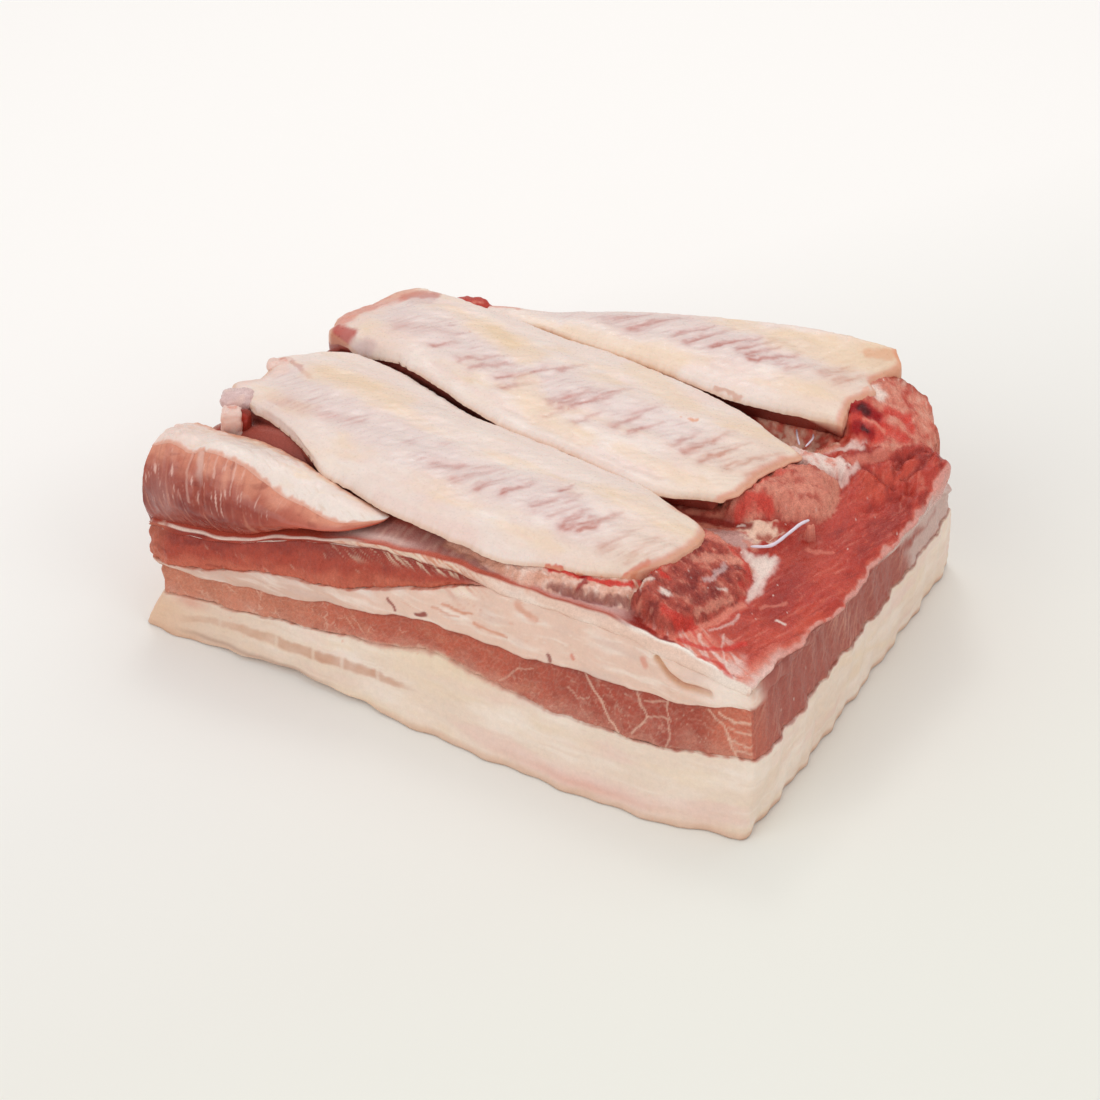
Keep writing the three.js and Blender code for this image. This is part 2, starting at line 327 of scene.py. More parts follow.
class Coat:
    """Colour, wetness and crumbliness on the points of a piece, laid on in thin coats."""

    def __init__(self, shape: tuple[int, ...], base: Array, wet: float = 0.5) -> None:
        """Starts with one colour and one wetness everywhere."""
        self.colour = np.broadcast_to(base, (*shape, 3)).copy()
        self.wet = np.full(shape, wet)
        self.crumb = np.zeros(shape)

    def lay(
        self, colour: Array, cover: Array | float, value: Array | None = None, low: float = 0.0, high: float = 1.0
    ) -> Coat:
        """Blends a colour over what is there, by a cover from 0 to 1, and only where a value, if given, is high.

        Args:
            colour: the colour to lay on.
            cover: how much it covers, from 0 to 1.
            value: what the cover also depends on, or None.
            low: the value at which the cover starts.
            high: the value at which the cover is full.

        Returns:
            The coat itself.
        """
        if value is not None:
            cover = cover * step(value, low, high)
        self.colour = mix(self.colour, colour, np.clip(cover, 0, 1)[..., None])
        return self

    def shade(self, factor: Array) -> Coat:
        """Makes what is there lighter or darker."""
        self.colour = self.colour * factor[..., None]
        return self

    def wear(self, tissue: Coat, cover: Array, wet: float) -> Coat:
        """Lays another coat's colours on, and blends the wetness towards a value."""
        return self.lay(tissue.colour, cover).moisten(wet, cover)

    def moisten(self, wet: float, cover: Array) -> Coat:
        """Blends the wetness towards a value, by a cover from 0 to 1."""
        self.wet = mix(self.wet, wet, np.clip(cover, 0, 1))
        return self

    def draw(self, lines: Sequence[Mark], a: Array, b: Array, where: Array | float = 1.0) -> Coat:
        """Lays marks on, given the place of each point on their face and where they may show."""
        for mark in lines:
            mark.draw(self, a, b, where)
        return self

    def picked(self, rows: Array) -> Coat:
        """The coat of some of its rows, in the order given."""
        self.colour, self.wet, self.crumb = self.colour[rows], self.wet[rows], self.crumb[rows]
        return self

    def roughen(self, cover: Array) -> Coat:
        """Makes the grain coarser and stronger, by a cover from 0 to 1."""
        self.crumb = np.maximum(self.crumb, np.clip(cover, 0, 1))
        return self


@dataclass(frozen=True, eq=False)
class Mark:
    """A line of colour on a face: its corners in mm, the colour, its half width and how much it covers."""

    line: Line
    colour: Array
    width: float
    cover: float

    def draw(self, coat: Coat, a: Array, b: Array, where: Array | float = 1.0) -> None:
        """Lays the line on, full to half its width and gone at one and a half times it."""
        gap = line_distance(a, b, self.line)
        coat.lay(self.colour, where * self.cover * fade(gap, self.width * 0.5, self.width * 1.5))


def marks(*rows: Sequence) -> tuple[Mark, ...]:
    """Marks from rows of colour, half width, cover, and the x and y of every corner in turn."""
    return tuple(Mark(tuple(zip(row[3::2], row[4::2])), *row[:3]) for row in rows)


# ---- meshes ---------------------------------------------------------------------------------------------------------
@dataclass(frozen=True)
class Frame:
    """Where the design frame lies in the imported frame, in mm."""

    shift: tuple[float, float, float] = (-0.2608, -2.7615, 0.0)

    def metres(self, points: Array) -> Array:
        """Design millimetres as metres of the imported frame."""
        return (points + np.asarray(self.shift)) * MM


FRAME = Frame()


@dataclass(frozen=True, eq=False)
class Seam:
    """How the ends of a flat loft are sewn shut: the columns of the upper line and of the lower line of a slice.

    The upper line runs in the order of the columns and the lower one against it, and their ends are neighbours. Each
    column has its place along its line, and columns at the same place lie over each other.
    """

    upper: Array
    lower: Array
    upper_at: Array
    lower_at: Array

    LAST_ANGLE = 1.45

    def faces(self, ring: Array) -> Array:
        """Triangles between the lines of a slice, given the numbers of its points."""
        upper, lower = ring[self.upper], ring[self.lower]
        k = np.round(np.interp(self.upper_at, self.lower_at, np.arange(len(lower)))).astype(int)
        k[0], k[-1] = 0, len(lower) - 1
        along = np.stack([upper[:-1], upper[1:], lower[k[:-1]]], axis=-1)
        jumps = np.diff(k)
        j = np.repeat(np.arange(len(jumps)), jumps)
        passed = k[j] + np.arange(len(j)) - np.repeat(np.cumsum(jumps) - jumps, jumps)
        across = np.stack([upper[j + 1], lower[passed + 1], lower[passed]], axis=-1)
        return np.concatenate([along, across])

    def rounded(self, section: Array, angle: float, out: tuple[float, float, float]) -> Array:
        """A slice past the end: at the angle a it keeps cos a of its thickness and stands sin a of out away."""
        drawn = section.copy()
        upper, lower = section[self.upper], section[self.lower]
        below = np.stack([np.interp(self.upper_at, self.lower_at, axis) for axis in lower.T], axis=-1)
        above = np.stack([np.interp(self.lower_at, self.upper_at, axis) for axis in upper.T], axis=-1)
        drawn[self.upper] = mix((upper + below) / 2, upper, math.cos(angle))
        drawn[self.lower] = mix((lower + above) / 2, lower, math.cos(angle))
        return drawn + math.sin(angle) * np.asarray(out)

    def capped(self, loops: Array, count: int, reach: float, right: bool = True) -> Array:
        """The slices with a few more past their left end, and past their right one too, that round them off.

        Args:
            loops: the slices, with shape (slices, columns, 3).
            count: how many are added at an end.
            reach: how far an end is moved out, in mm.
            right: whether the right end is rounded off.

        Returns:
            All slices, from left to right.
        """
        angles = np.linspace(0, self.LAST_ANGLE, count + 1)[1:]
        left = np.stack([self.rounded(loops[0], angle, (-reach, 0, 0)) for angle in angles[::-1]])
        if not right:
            return np.concatenate([left, loops])
        return np.concatenate([left, loops, np.stack([self.rounded(loops[-1], a, (reach, 0, 0)) for a in angles])])


def loft(name: str, loops: Array, coat: Coat, finish: Finish, seam: Seam | None = None) -> bpy.types.Object:
    """A closed mesh through a row of closed loops.

    Point [i, j] joins [i + 1, j] and [i, j + 1], with the last column joined to the first. The faces are turned
    so that the sum of p . (q x r) / 6 over its triangles, which is its volume, is above 0.

    Args:
        name: the piece's name.
        loops: points in design mm, with shape (loops, columns, 3).
        coat: colour and wetness of each point.
        finish: the finish whose material it wears.
        seam: how the ends are sewn shut, or None for triangles to the middle of each end.

    Returns:
        The new object.
    """
    rows, columns = loops.shape[:2]
    points = loops.reshape(-1, 3)
    colour = np.concatenate([coat.colour, coat.wet[..., None], coat.crumb[..., None]], axis=-1).reshape(-1, 5)
    here = np.arange(rows * columns).reshape(rows, columns)
    there = np.roll(here, -1, axis=1)
    quads = np.stack([here[:-1], there[:-1], there[1:], here[1:]], axis=-1).reshape(-1, 4)
    if seam is None:
        poles = len(points) + np.arange(2)
        points = np.vstack([points, loops[0].mean(axis=0), loops[-1].mean(axis=0)])
        colour = np.vstack([colour, colour[:columns].mean(axis=0), colour[-columns:].mean(axis=0)])
        start = np.stack([there[0], here[0], np.full(columns, poles[0])], axis=-1)
        end = np.stack([here[-1], there[-1], np.full(columns, poles[1])], axis=-1)
    else:
        start, end = seam.faces(here[0])[:, ::-1], seam.faces(here[-1])
    triangles = np.concatenate([start, end])
    if _volume(points, quads) < 0:
        quads, triangles = quads[:, ::-1], triangles[:, ::-1]
    return _mesh_object(name, points, quads, triangles, colour, finish)


def _volume(points: Array, quads: Array) -> float:
    """Six times the volume under a sheet of quads, about its own middle."""
    p = points - points.mean(axis=0)
    a, b, c, d = (p[quads[:, i]] for i in range(4))
    return float(np.einsum("ij,ij->", a, np.cross(b, c)) + np.einsum("ij,ij->", a, np.cross(c, d)))


def linked(name: str, data: bpy.types.ID | None) -> bpy.types.Object:
    """A new object of the scene with this data."""
    obj = bpy.data.objects.new(name, data)
    bpy.context.scene.collection.objects.link(obj)
    return obj


def _mesh_object(
    name: str, points: Array, quads: Array, triangles: Array, look: Array, finish: Finish
) -> bpy.types.Object:
    """Puts points, faces and the look, which is colour, wetness and crumb, into a smooth mesh and links it."""
    corners = np.concatenate([quads.ravel(), triangles.ravel()])
    sizes = np.concatenate([np.full(len(quads), 4), np.full(len(triangles), 3)])
    mesh = bpy.data.meshes.new(name)
    mesh.vertices.add(len(points))
    mesh.vertices.foreach_set("co", FRAME.metres(points).astype(np.float32).ravel())
    mesh.loops.add(len(corners))
    mesh.loops.foreach_set("vertex_index", corners.astype(np.int32))
    mesh.polygons.add(len(sizes))
    mesh.polygons.foreach_set("loop_start", np.concatenate([[0], np.cumsum(sizes)[:-1]]).astype(np.int32))
    mesh.polygons.foreach_set("loop_total", sizes.astype(np.int32))
    mesh.polygons.foreach_set("use_smooth", np.ones(len(sizes), bool))
    mesh.update(calc_edges=True)
    look = np.clip(look, 0, 1).astype(np.float32)
    rgba = np.column_stack([look[:, :3], np.ones(len(points), np.float32)])
    mesh.attributes.new("flesh", "FLOAT_COLOR", "POINT").data.foreach_set("color", rgba.ravel())
    for column, name_of_share in ((3, "wet"), (4, "crumb")):
        share = mesh.attributes.new(name_of_share, "FLOAT", "POINT")
        share.data.foreach_set("value", np.ascontiguousarray(look[:, column]))
    mesh.materials.append(finish.material())
    return linked(name, mesh)


# ---- finishes -------------------------------------------------------------------------------------------------------
class Nodes:
    """A new material, its node tree and its shader."""

    def __init__(self, name: str) -> None:
        """Makes the material."""
        self.material = bpy.data.materials.new(name)
        self.material.use_nodes = True
        self._tree = self.material.node_tree
        self.shader = self._tree.nodes["Principled BSDF"]

    def add(self, kind: str, inputs: dict[str | int, object], **settings: str) -> bpy.types.Node:
        """Adds a node of a kind, with its inputs filled in and its settings made."""
        node = self._tree.nodes.new(f"ShaderNode{kind}")
        for setting, value in settings.items():
            setattr(node, setting, value)
        self.fill(node, inputs)
        return node

    def fill(self, node: bpy.types.Node, inputs: dict[str | int, object]) -> None:
        """Fills inputs in: another node's socket is linked, and any other value is set."""
        for key, value in inputs.items():
            if isinstance(value, bpy.types.NodeSocket):
                self._tree.links.new(value, node.inputs[key])
            else:
                node.inputs[key].default_value = value

    def ranged(
        self, value: bpy.types.NodeSocket, at_low: float, at_high: float, low: float = 0.0, high: float = 1.0
    ) -> bpy.types.NodeSocket:
        """The value's stretch from low to high, carried over to at_low to at_high."""
        limits = {"From Min": low, "From Max": high, "To Min": at_low, "To Max": at_high}
        return self.add("MapRange", {**limits, "Value": value}).outputs["Result"]

    def product(self, first: bpy.types.NodeSocket, second: bpy.types.NodeSocket) -> bpy.types.NodeSocket:
        """One value times the other."""
        return self.add("Math", {0: first, 1: second}, operation="MULTIPLY").outputs["Value"]


@dataclass(frozen=True)
class Finish:
    """Moist flesh: colour and wetness from the piece's points, with fine grain and relief from noise.

    Sizes of grain are in mm, its depth in mm, and the mottle is the share by which it darkens and lightens. The fine
    grain has a share of the coarse one's size and depth.
    """

    name: str
    grain: float
    mottle: float
    fine_mottle: float
    depth: float
    wet_roughness: float
    specular: float = 0.45
    subsurface: float = 0.0
    crumbling: float = 0.0

    DRY_ROUGHNESS = 0.55
    FINE_SIZE, FINE_DEPTH = 0.32, 0.4
    NOISE_ROUGHNESS = 0.6
    NOISE_RANGE = (0.3, 0.7)
    PATCHINESS = (0.65, 1.35)
    SUBSURFACE_RADIUS, SUBSURFACE_MM = (1.0, 0.45, 0.3), 1.6

    def material(self) -> bpy.types.Material:
        """The material, made the first time it is asked for."""
        return bpy.data.materials.get(self.name) or self._make()

    def _make(self) -> bpy.types.Material:
        """Builds the nodes: mottled colour, roughness from wetness and grain, and bump at two sizes."""
        nodes = Nodes(self.name)
        place = nodes.add("TexCoord", {}).outputs["Object"]
        flesh, wet, crumb = (nodes.add("Attribute", {}, attribute_name=name) for name in ("flesh", "wet", "crumb"))
        coarse = self._grain(nodes, place, self.grain, 3.0)
        fine = self._grain(nodes, place, self.grain * self.FINE_SIZE, 2.0)
        swell = nodes.ranged(crumb.outputs["Fac"], 1.0, 1.0 + self.crumbling)
        colour = flesh.outputs["Color"]
        for grain, amount in ((coarse, self.mottle), (fine, self.fine_mottle)):
            drift = nodes.product(nodes.ranged(grain, -amount, amount, *self.NOISE_RANGE), swell)
            factor = nodes.ranged(drift, 0.0, 2.0, -1.0, 1.0)
            colour = nodes.add("VectorMath", {0: colour, "Scale": factor}, operation="SCALE").outputs["Vector"]
        rough = nodes.ranged(wet.outputs["Fac"], self.DRY_ROUGHNESS, self.wet_roughness)
        patchy = nodes.product(rough, nodes.ranged(fine, *self.PATCHINESS, *self.NOISE_RANGE))
        normal = {}
        for grain, share in ((coarse, 1.0), (fine, self.FINE_DEPTH)):
            relief = {"Strength": 1.0, "Distance": self.depth * share * MM, "Height": nodes.product(grain, swell)}
            normal = {"Normal": nodes.add("Bump", relief | normal).outputs["Normal"]}
        look = {"Base Color": colour, "Roughness": patchy, "Specular IOR Level": self.specular}
        nodes.fill(nodes.shader, look | normal)
        if self.subsurface > 0:
            depths = {"Subsurface Radius": self.SUBSURFACE_RADIUS, "Subsurface Scale": self.SUBSURFACE_MM * MM}
            nodes.fill(nodes.shader, {"Subsurface Weight": self.subsurface} | depths)
        return nodes.material

    def _grain(self, nodes: Nodes, place: bpy.types.NodeSocket, size: float, detail: float) -> bpy.types.NodeSocket:
        """Noise whose bumps are about size mm across."""
        settings = {"Scale": 1 / (size * MM), "Detail": detail, "Roughness": self.NOISE_ROUGHNESS}
        return nodes.add("TexNoise", settings | {"Vector": place}).outputs["Fac"]


class Finishes:
    """The finishes of the slab's pieces."""

    FAT = Finish("moist_fat", 1.8, 0.03, 0.025, 0.10, 0.3, subsurface=0.1)
    LEAN = Finish("cut_lean", 0.9, 0.10, 0.10, 0.14, 0.3, specular=0.3)
    FLAP_LEAN = Finish("glossy_lean", 1.4, 0.05, 0.05, 0.10, 0.16, specular=0.35)
    RED_MEAT = Finish("wet_red_meat", 0.9, 0.07, 0.08, 0.13, 0.22, specular=0.22, crumbling=1.2)
    MEMBRANE = Finish("rib_membrane", 2.6, 0.02, 0.025, 0.09, 0.26, subsurface=0.1)
    SINEW = Finish("wet_sinew", 1.2, 0.05, 0.04, 0.08, 0.15)


# ---- the slab's form ------------------------------------------------------------------------------------------------
class Level(IntEnum):
    """The levels at which the slab's layers meet, from the skin up."""

    UNDERSIDE = 0
    FAT_TOP = 1
    LOWER_LEAN_TOP = 2
    STREAK_BOTTOM = 3
    STREAK_TOP = 4
    BED = 5


class SlabForm:
    """The outline and the levels of the slab, in mm, as the solids have them."""

    HALF_LENGTH, HALF_DEPTH = 100.0, 70.0
    MIDDLE_Y = -3.0
    STEPS = 8
    CORNER_PULL = 0.006
    STREAK_END = 0.125
    SEAM_PHASE = (0, 1, 2, 3, 3, 4)

    front_foot = staticmethod(profile(-72, -72, -72.3, -73.5, -75.5, -77, -78, -77.3, -73))
    front_lean = staticmethod(profile(0.26, 0.26, 0.27, 0.3, 0.34, 0.37, 0.38, 0.34, 0.22))
    back_foot = staticmethod(profile(76, 78, 80, 80, 77))
    back_lean = staticmethod(profile(-0.02, 0.02, 0.05, 0.06, -0.02))
    left_reach = (
        profile(101.5, 98.5, 97, 97.5, 98),
        profile(96.8, 97, 97, 97.5, 97.5),
        profile(99, 98.5, 97.5, 97.5, 97),
        profile(101.5, 99.5, 98, 97, 96.5),
        profile(102.5, 100.5, 98, 96, 95),
        profile(101.5, 99, 96, 94, 90),
    )
    right_reach = (
        profile(100.5, 101, 101, 101, 100.5),
        profile(101.5, 101, 101, 101, 100.5),
        profile(97.5, 97, 97.5, 99, 99),
        profile(95, 96, 97, 99.5, 99),
        profile(95, 96, 97, 99.5, 99),
        profile(95.5, 96.5, 98.3, 100.5, 102, 102.8, 103.4, 102.8, 91),
    )
    fat_top = (profile(12, 13.8, 16, 19, 22.8, 20.2, 19.5, 20.5, 24), profile(16, 17, 18, 19, 21))
    lean_top = (profile(20, 21.5, 23.8, 28, 31.8, 31.3, 33.2, 33.8, 37.5), profile(25, 27, 29, 31, 36))
    streak_top = (profile(31.5, 33.5, 41, 46, 47, 46, 46.5, 45, 42), profile(38, 40, 41.5, 42, 40))
    streak_depth = (profile(10.8, 9.6, 9.3, 12.7, 12, 6.5, 0.8), profile(9, 9, 9, 8, 6.5, 4, 0.8))
    seam = staticmethod(profile(1.2, 1.2, 1.2, 1.5, 2.5, 3, 3, 3, 3.5))
    bed = staticmethod(profile(49, 51, 51.5, 51.5, 51.5, 51.5, 51.3, 48.3, 44.2))
    bed_back_edge = staticmethod(profile(46, 46, 46.5, 50, 52, 54, 56, 55, 45))
    bed_rise = staticmethod(profile(34, 34, 30, 22, 17, 16, 18, 24, 30))
    BACK_FALL = 0.568
    CORNER_DROPS = (0.0, 0.0, 8.5, 11.5, 11.5, 14.0)
    CURL_HEIGHT, CURL_CENTRE, CURL_REACH, CURL_DEPTH = 2.2, -0.45, 0.42, 0.2

    def height(self, level: Level, u: Array, v: Array) -> Array:
        """The height of a level at u, v, both from -1 to 1, with the back right corner worn down."""
        return self._plain_height(level, u, v) - self.CORNER_DROPS[level] * step(u, 0.9, 1) * step(v, 0.72, 1)

    def _plain_height(self, level: Level, u: Array, v: Array) -> Array:
        """The height of a level before its corner is worn down."""
        t, s = (u + 1) / 2, (v + 1) / 2
        if level is Level.UNDERSIDE:
            along = np.maximum(0, 1 - ((u - self.CURL_CENTRE) / self.CURL_REACH) ** 2)
            return self.CURL_HEIGHT * (along * np.maximum(0, 1 - (1 + v) / self.CURL_DEPTH)) ** 2
        if level in (Level.FAT_TOP, Level.LOWER_LEAN_TOP):
            front, back = self.fat_top if level is Level.FAT_TOP else self.lean_top
            return mix(front(t), back(t), s)
        top = mix(self.streak_top[0](t), self.streak_top[1](t), s)
        if level is Level.STREAK_TOP:
            return top
        if level is Level.STREAK_BOTTOM:
            share = (u + 1) / (self.STREAK_END + 1)
            depth = mix(self.streak_depth[0](share), self.streak_depth[1](share), s)
            return top - depth * fade(share, 0.97, 1.03)
        from_front = (self.MIDDLE_Y - self.front_foot(t)) * (1 + v)
        rise = np.where(v < 0, np.clip(from_front / self.bed_rise(t), 0, 1), 1)
        front = mix(top + self.seam(t), self.bed(t), rise)
        return mix(front, self.bed_back_edge(t), np.clip((v - self.BACK_FALL) / (1 - self.BACK_FALL), 0, 1))

    def ragged(self, place: Array, level: Level) -> Array:
        """The uneven edge that a knife leaves: two waves in mm, shifted from level to level."""
        phase = self.SEAM_PHASE[level]
        return 0.45 * np.sin(23 * place + 2.1 * phase) + 0.3 * np.sin(51 * place + 4.7 * phase)

    def point(self, level: Level, u: Array, v: Array) -> Array:
        """The point of a level at u, v: x and y on its outline, z at its height."""
        t, s = (u + 1) / 2, (v + 1) / 2
        front_y = self.front_foot(t) + self.front_lean(t) * self.height(level, u, np.full_like(v, -1.0))
        back_y = self.back_foot(t) + self.back_lean(t) * self.height(level, u, np.full_like(v, 1.0))
        reach = np.where(u < 0, self.left_reach[level](s), self.right_reach[level](s))
        x = u * (reach + self.ragged(v, level)) * (1 - self.CORNER_PULL * np.abs(v) ** 9)
        pull = 1 - self.CORNER_PULL * np.abs(u) ** 9
        front = self.MIDDLE_Y - v * (front_y + self.ragged(u, level) - self.MIDDLE_Y) * pull
        back = self.MIDDLE_Y + v * (back_y - self.MIDDLE_Y) * pull
        return np.stack([x, np.where(v < 0, front, back), self.height(level, u, v)], axis=-1)

    def place_of(self, level: Level, x: Array, y: Array) -> tuple[Array, Array]:
        """The u, v of a level whose point is at x, y, found by steps towards it."""
        u, v = np.clip(x / self.HALF_LENGTH, -1, 1), np.clip(y / self.HALF_DEPTH, -1, 1)
        for _ in range(self.STEPS):
            here = self.point(level, u, v)
            u = np.clip(u + (x - here[..., 0]) / self.HALF_LENGTH, -1, 1)
            v = np.clip(v + (y - here[..., 1]) / self.HALF_DEPTH, -1, 1)
        return u, v


FORM = SlabForm()


@dataclass(frozen=True)
class Rim:
    """The way round the slab: a square in u, v with rounded corners, walked from the front left corner.

    Columns are given for the front, right, back and left side, and for each corner.
    """

    columns: tuple[int, int, int, int] = (460, 340, 150, 130)
    corner_columns: int = 7
    corner: float = 0.02

    HALF_SIDES = (100.0, 77.0)

    def walk(self) -> tuple[Array, Array, Array, Array]:
        """Goes round once.

        Returns:
            u and v of each column, the outward direction there, and the way walked so far in mm.
        """
        r = self.corner
        turns = ((0, -1), (1, 0), (0, 1), (-1, 0))
        places, normals = [], []
        for side, (nx, ny) in enumerate(turns):
            along = np.linspace(-1 + r, 1 - r, self.columns[side], endpoint=False)[:, None]
            outward = np.array([nx, ny], float)
            places.append(outward + along * np.array([-ny, nx]))
            normals.append(np.repeat(outward[None], len(along), axis=0))
            angle = math.atan2(ny, nx) + np.linspace(0, math.pi / 2, self.corner_columns, endpoint=False)
            turn = np.stack([np.cos(angle), np.sin(angle)], axis=-1)
            centre = (outward + np.array([-ny, nx])) * (1 - r)
            places.append(centre + turn * r)
            normals.append(turn)
        uv, normal = np.concatenate(places), np.concatenate(normals)
        stepped = np.linalg.norm(np.diff(uv * np.array(self.HALF_SIDES), axis=0), axis=1)
        return uv[:, 0], uv[:, 1], normal, np.concatenate([[0.0], np.cumsum(stepped)])


# ---- the cut sides --------------------------------------------------------------------------------------------------
class SidePaint:
    """The look of the slab's cut sides: tissue by height between the levels, with the marks that each side has.

    A cloud in the fat is a tone, its cover, and its x and z in mm, each followed by its reach.
    """

    FRONT_MARBLING = marks(
        (Tone.MARBLE, 0.34, 0.8, 46, 32.5, 51.5, 27.9, 55.5, 22, 58.5, 20.3),
        (Tone.MARBLE, 0.3, 0.65, 62.5, 34.4, 64.5, 29.7, 66.5, 26.7, 64.5, 23.5, 62.5, 21.5),
        (Tone.MARBLE, 0.26, 0.55, 66.5, 26.7, 72.5, 27.6, 73.5, 23.8, 72.5, 20.3),
        (Tone.MARBLE, 0.3, 0.6, 72.5, 33.8, 72.5, 29.7, 73.5, 27.4),
        (Tone.MARBLE, 0.32, 0.7, 84.5, 34.5, 88.5, 31, 90.5, 26.8, 92.5, 22.4),
        (Tone.MARBLE, 0.24, 0.5, 65.5, 30.6, 72.5, 32.3),
        (Tone.MARBLE, 0.24, 0.45, 42, 26.7, 45, 24.6, 49, 26.5),
        (Tone.MARBLE, 0.24, 0.4, 20, 21.8, 24, 24.5, 26, 27.2, 31, 28.6),
        (Tone.MARBLE, 0.32, 0.8, 88, 34.7, 91.5, 32.2, 99, 33.6),
        (Tone.MARBLE, 0.26, 0.7, 90, 30.5, 94, 30, 100, 31.4),
        (Tone.MARBLE, 0.26, 0.7, 90, 27.3, 95, 26.8, 100, 28.6),
        (Tone.MARBLE, 0.24, 0.6, 92, 24.8, 100, 26),
    )
    FRONT_FLECKS = marks(
        (Tone.UPPER_DARK, 0.45, 0.85, -17.3, 34.2, -15.2, 31.6),
        (Tone.UPPER_DARK, 0.6, 0.9, -7.6, 32.9, -5, 33.7),
        (Tone.STAIN, 0.45, 0.9, -14.2, 17.6, -13.8, 16.9),
        (Tone.FIBRE_ORANGE, 0.4, 0.7, 0.5, 38.4, 10, 38.1),
        (Tone.FIBRE_ORANGE, 0.4, 0.65, 11, 36.0, 22, 35.3),
        (Tone.FIBRE_ORANGE, 0.3, 0.5, -3, 36.6, 6, 36.4),
        (Tone.FIBRE_ORANGE, 0.9, 0.5, 24, 44.8, 27, 43.4, 30, 42.8),
        (Tone.UPPER_DARK, 0.5, 0.8, 35.4, 34.1, 36.2, 33.2),
        (Tone.STAIN, 0.5, 0.8, 42.6, 36.4, 43.4, 35.7),
        (Tone.STAIN, 0.9, 0.6, 65.4, 42.6, 66.2, 41.2),
        (Tone.UPPER_DARK, 0.7, 0.9, -84.5, 30.3, -80, 30.8),
        (Tone.UPPER_DARK, 0.5, 0.8, -97, 25.8, -94, 26.6, -91, 25.8),
        (Tone.UPPER_DARK, 0.4, 0.5, -78, 24.9, -73, 25.5),
    )
    FAT_STREAK_TOP = staticmethod(profile(7.4, 9.9, 11.0, 10.7, 11.6, 12.1, 12.5, 11.0))
    FAT_STREAK_FOOT = staticmethod(profile(5.2, 8.0, 8.4, 7.6, 8.5, 9.2, 10.0, 10.6))
    FAT_STREAK_GAPS = (-74, -54, -40, -30, -17)
    FAT_CLOUDS = (
        (Tone.FAT_WARM, 0.8, 0, 26, 21, 4.5),
        (Tone.FAT_WARM, 0.7, -22, 24, 1.5, 2.5),
        (Tone.FAT_PINK, 0.85, 58, 30, 4.5, 2.8),
        (Tone.STAIN, 0.35, 48, 22, 3.4, 1.6),
    )
    SLIT = ((69.5, 44.2), (73.5, 41.0), (78, 39.7), (86, 39.5))
    HALF_LENGTH, FRONT_DEPTH, BACK_DEPTH = 98, 65, 82
    FACING = (0.2, 0.8)
    LANE_STEP = 3.7

    def __init__(self, u: Array, v: Array, normal: Array, way: Array) -> None:
        """Keeps the rim's columns and works out the levels' heights at each of them."""
        self.way = way
        self.front = step(-normal[:, 1], *self.FACING)
        self.right = step(normal[:, 0], *self.FACING)
        self.left = step(-normal[:, 0], *self.FACING)
        self.x = u * self.HALF_LENGTH
        self.y = FORM.MIDDLE_Y + v * np.where(v < 0, self.FRONT_DEPTH, self.BACK_DEPTH)
        self.levels = [FORM.height(level, u, v) + self.wiggle(level) for level in Level]

    def wiggle(self, level: Level) -> Array:
        """How far a level wanders up and down at the rim, in mm. The skin and the bed keep their height."""
        if level in (Level.UNDERSIDE, Level.BED):
            return np.zeros_like(self.way)
        lane = self.LANE_STEP * min(level, Level.STREAK_TOP)
        return 0.45 * noise(self.way / 11, lane) + 0.3 * noise(self.way / 3.5, lane + 50)

    def relief(self, level: Level, z: Array) -> Array:
        """How far the side stands out from its plain form, in mm, on the layer that starts at a level."""
        way, x = self._places(z)
        broad = 0.5 * layered(way / 30, z / 20, octaves=2) * step(z, 0, 9)
        if level in (Level.FAT_TOP, Level.STREAK_BOTTOM):
            near, _, tone = cells(way / 3.0 + noise(way / 5, z / 5), z / 2.2, 5)
            lobes = self.front * fade(x, -100, -76) * 1.2 * noise(way / 5, z / 4, 77.0)
            sunk = 0.55 - 0.5 * self.front * fade(x, -90, -60) * float(level is Level.STREAK_BOTTOM)
            return broad - sunk - 0.2 * near + 0.12 * tone + lobes + 0.2 * noise(way / 1.6, z / 1.2)
        strings = 0.16 * layered(way / 13, z / 2.1, octaves=2) * step(z, 0, 5)
        ledge = 0.0
        if level is Level.LOWER_LEAN_TOP:
            ledge = 0.7 * self.front * between(x, -30, 88, 12)
            slit = line_distance(x, z, self.SLIT)
            ledge = ledge - 1.3 * self.front * bell(slit, 0, 0.7) + 0.5 * self.front * bell(slit, 2.2, 1.2)
        return broad + strings + ledge + 0.1 * noise(way / 2.5, z / 1.5)

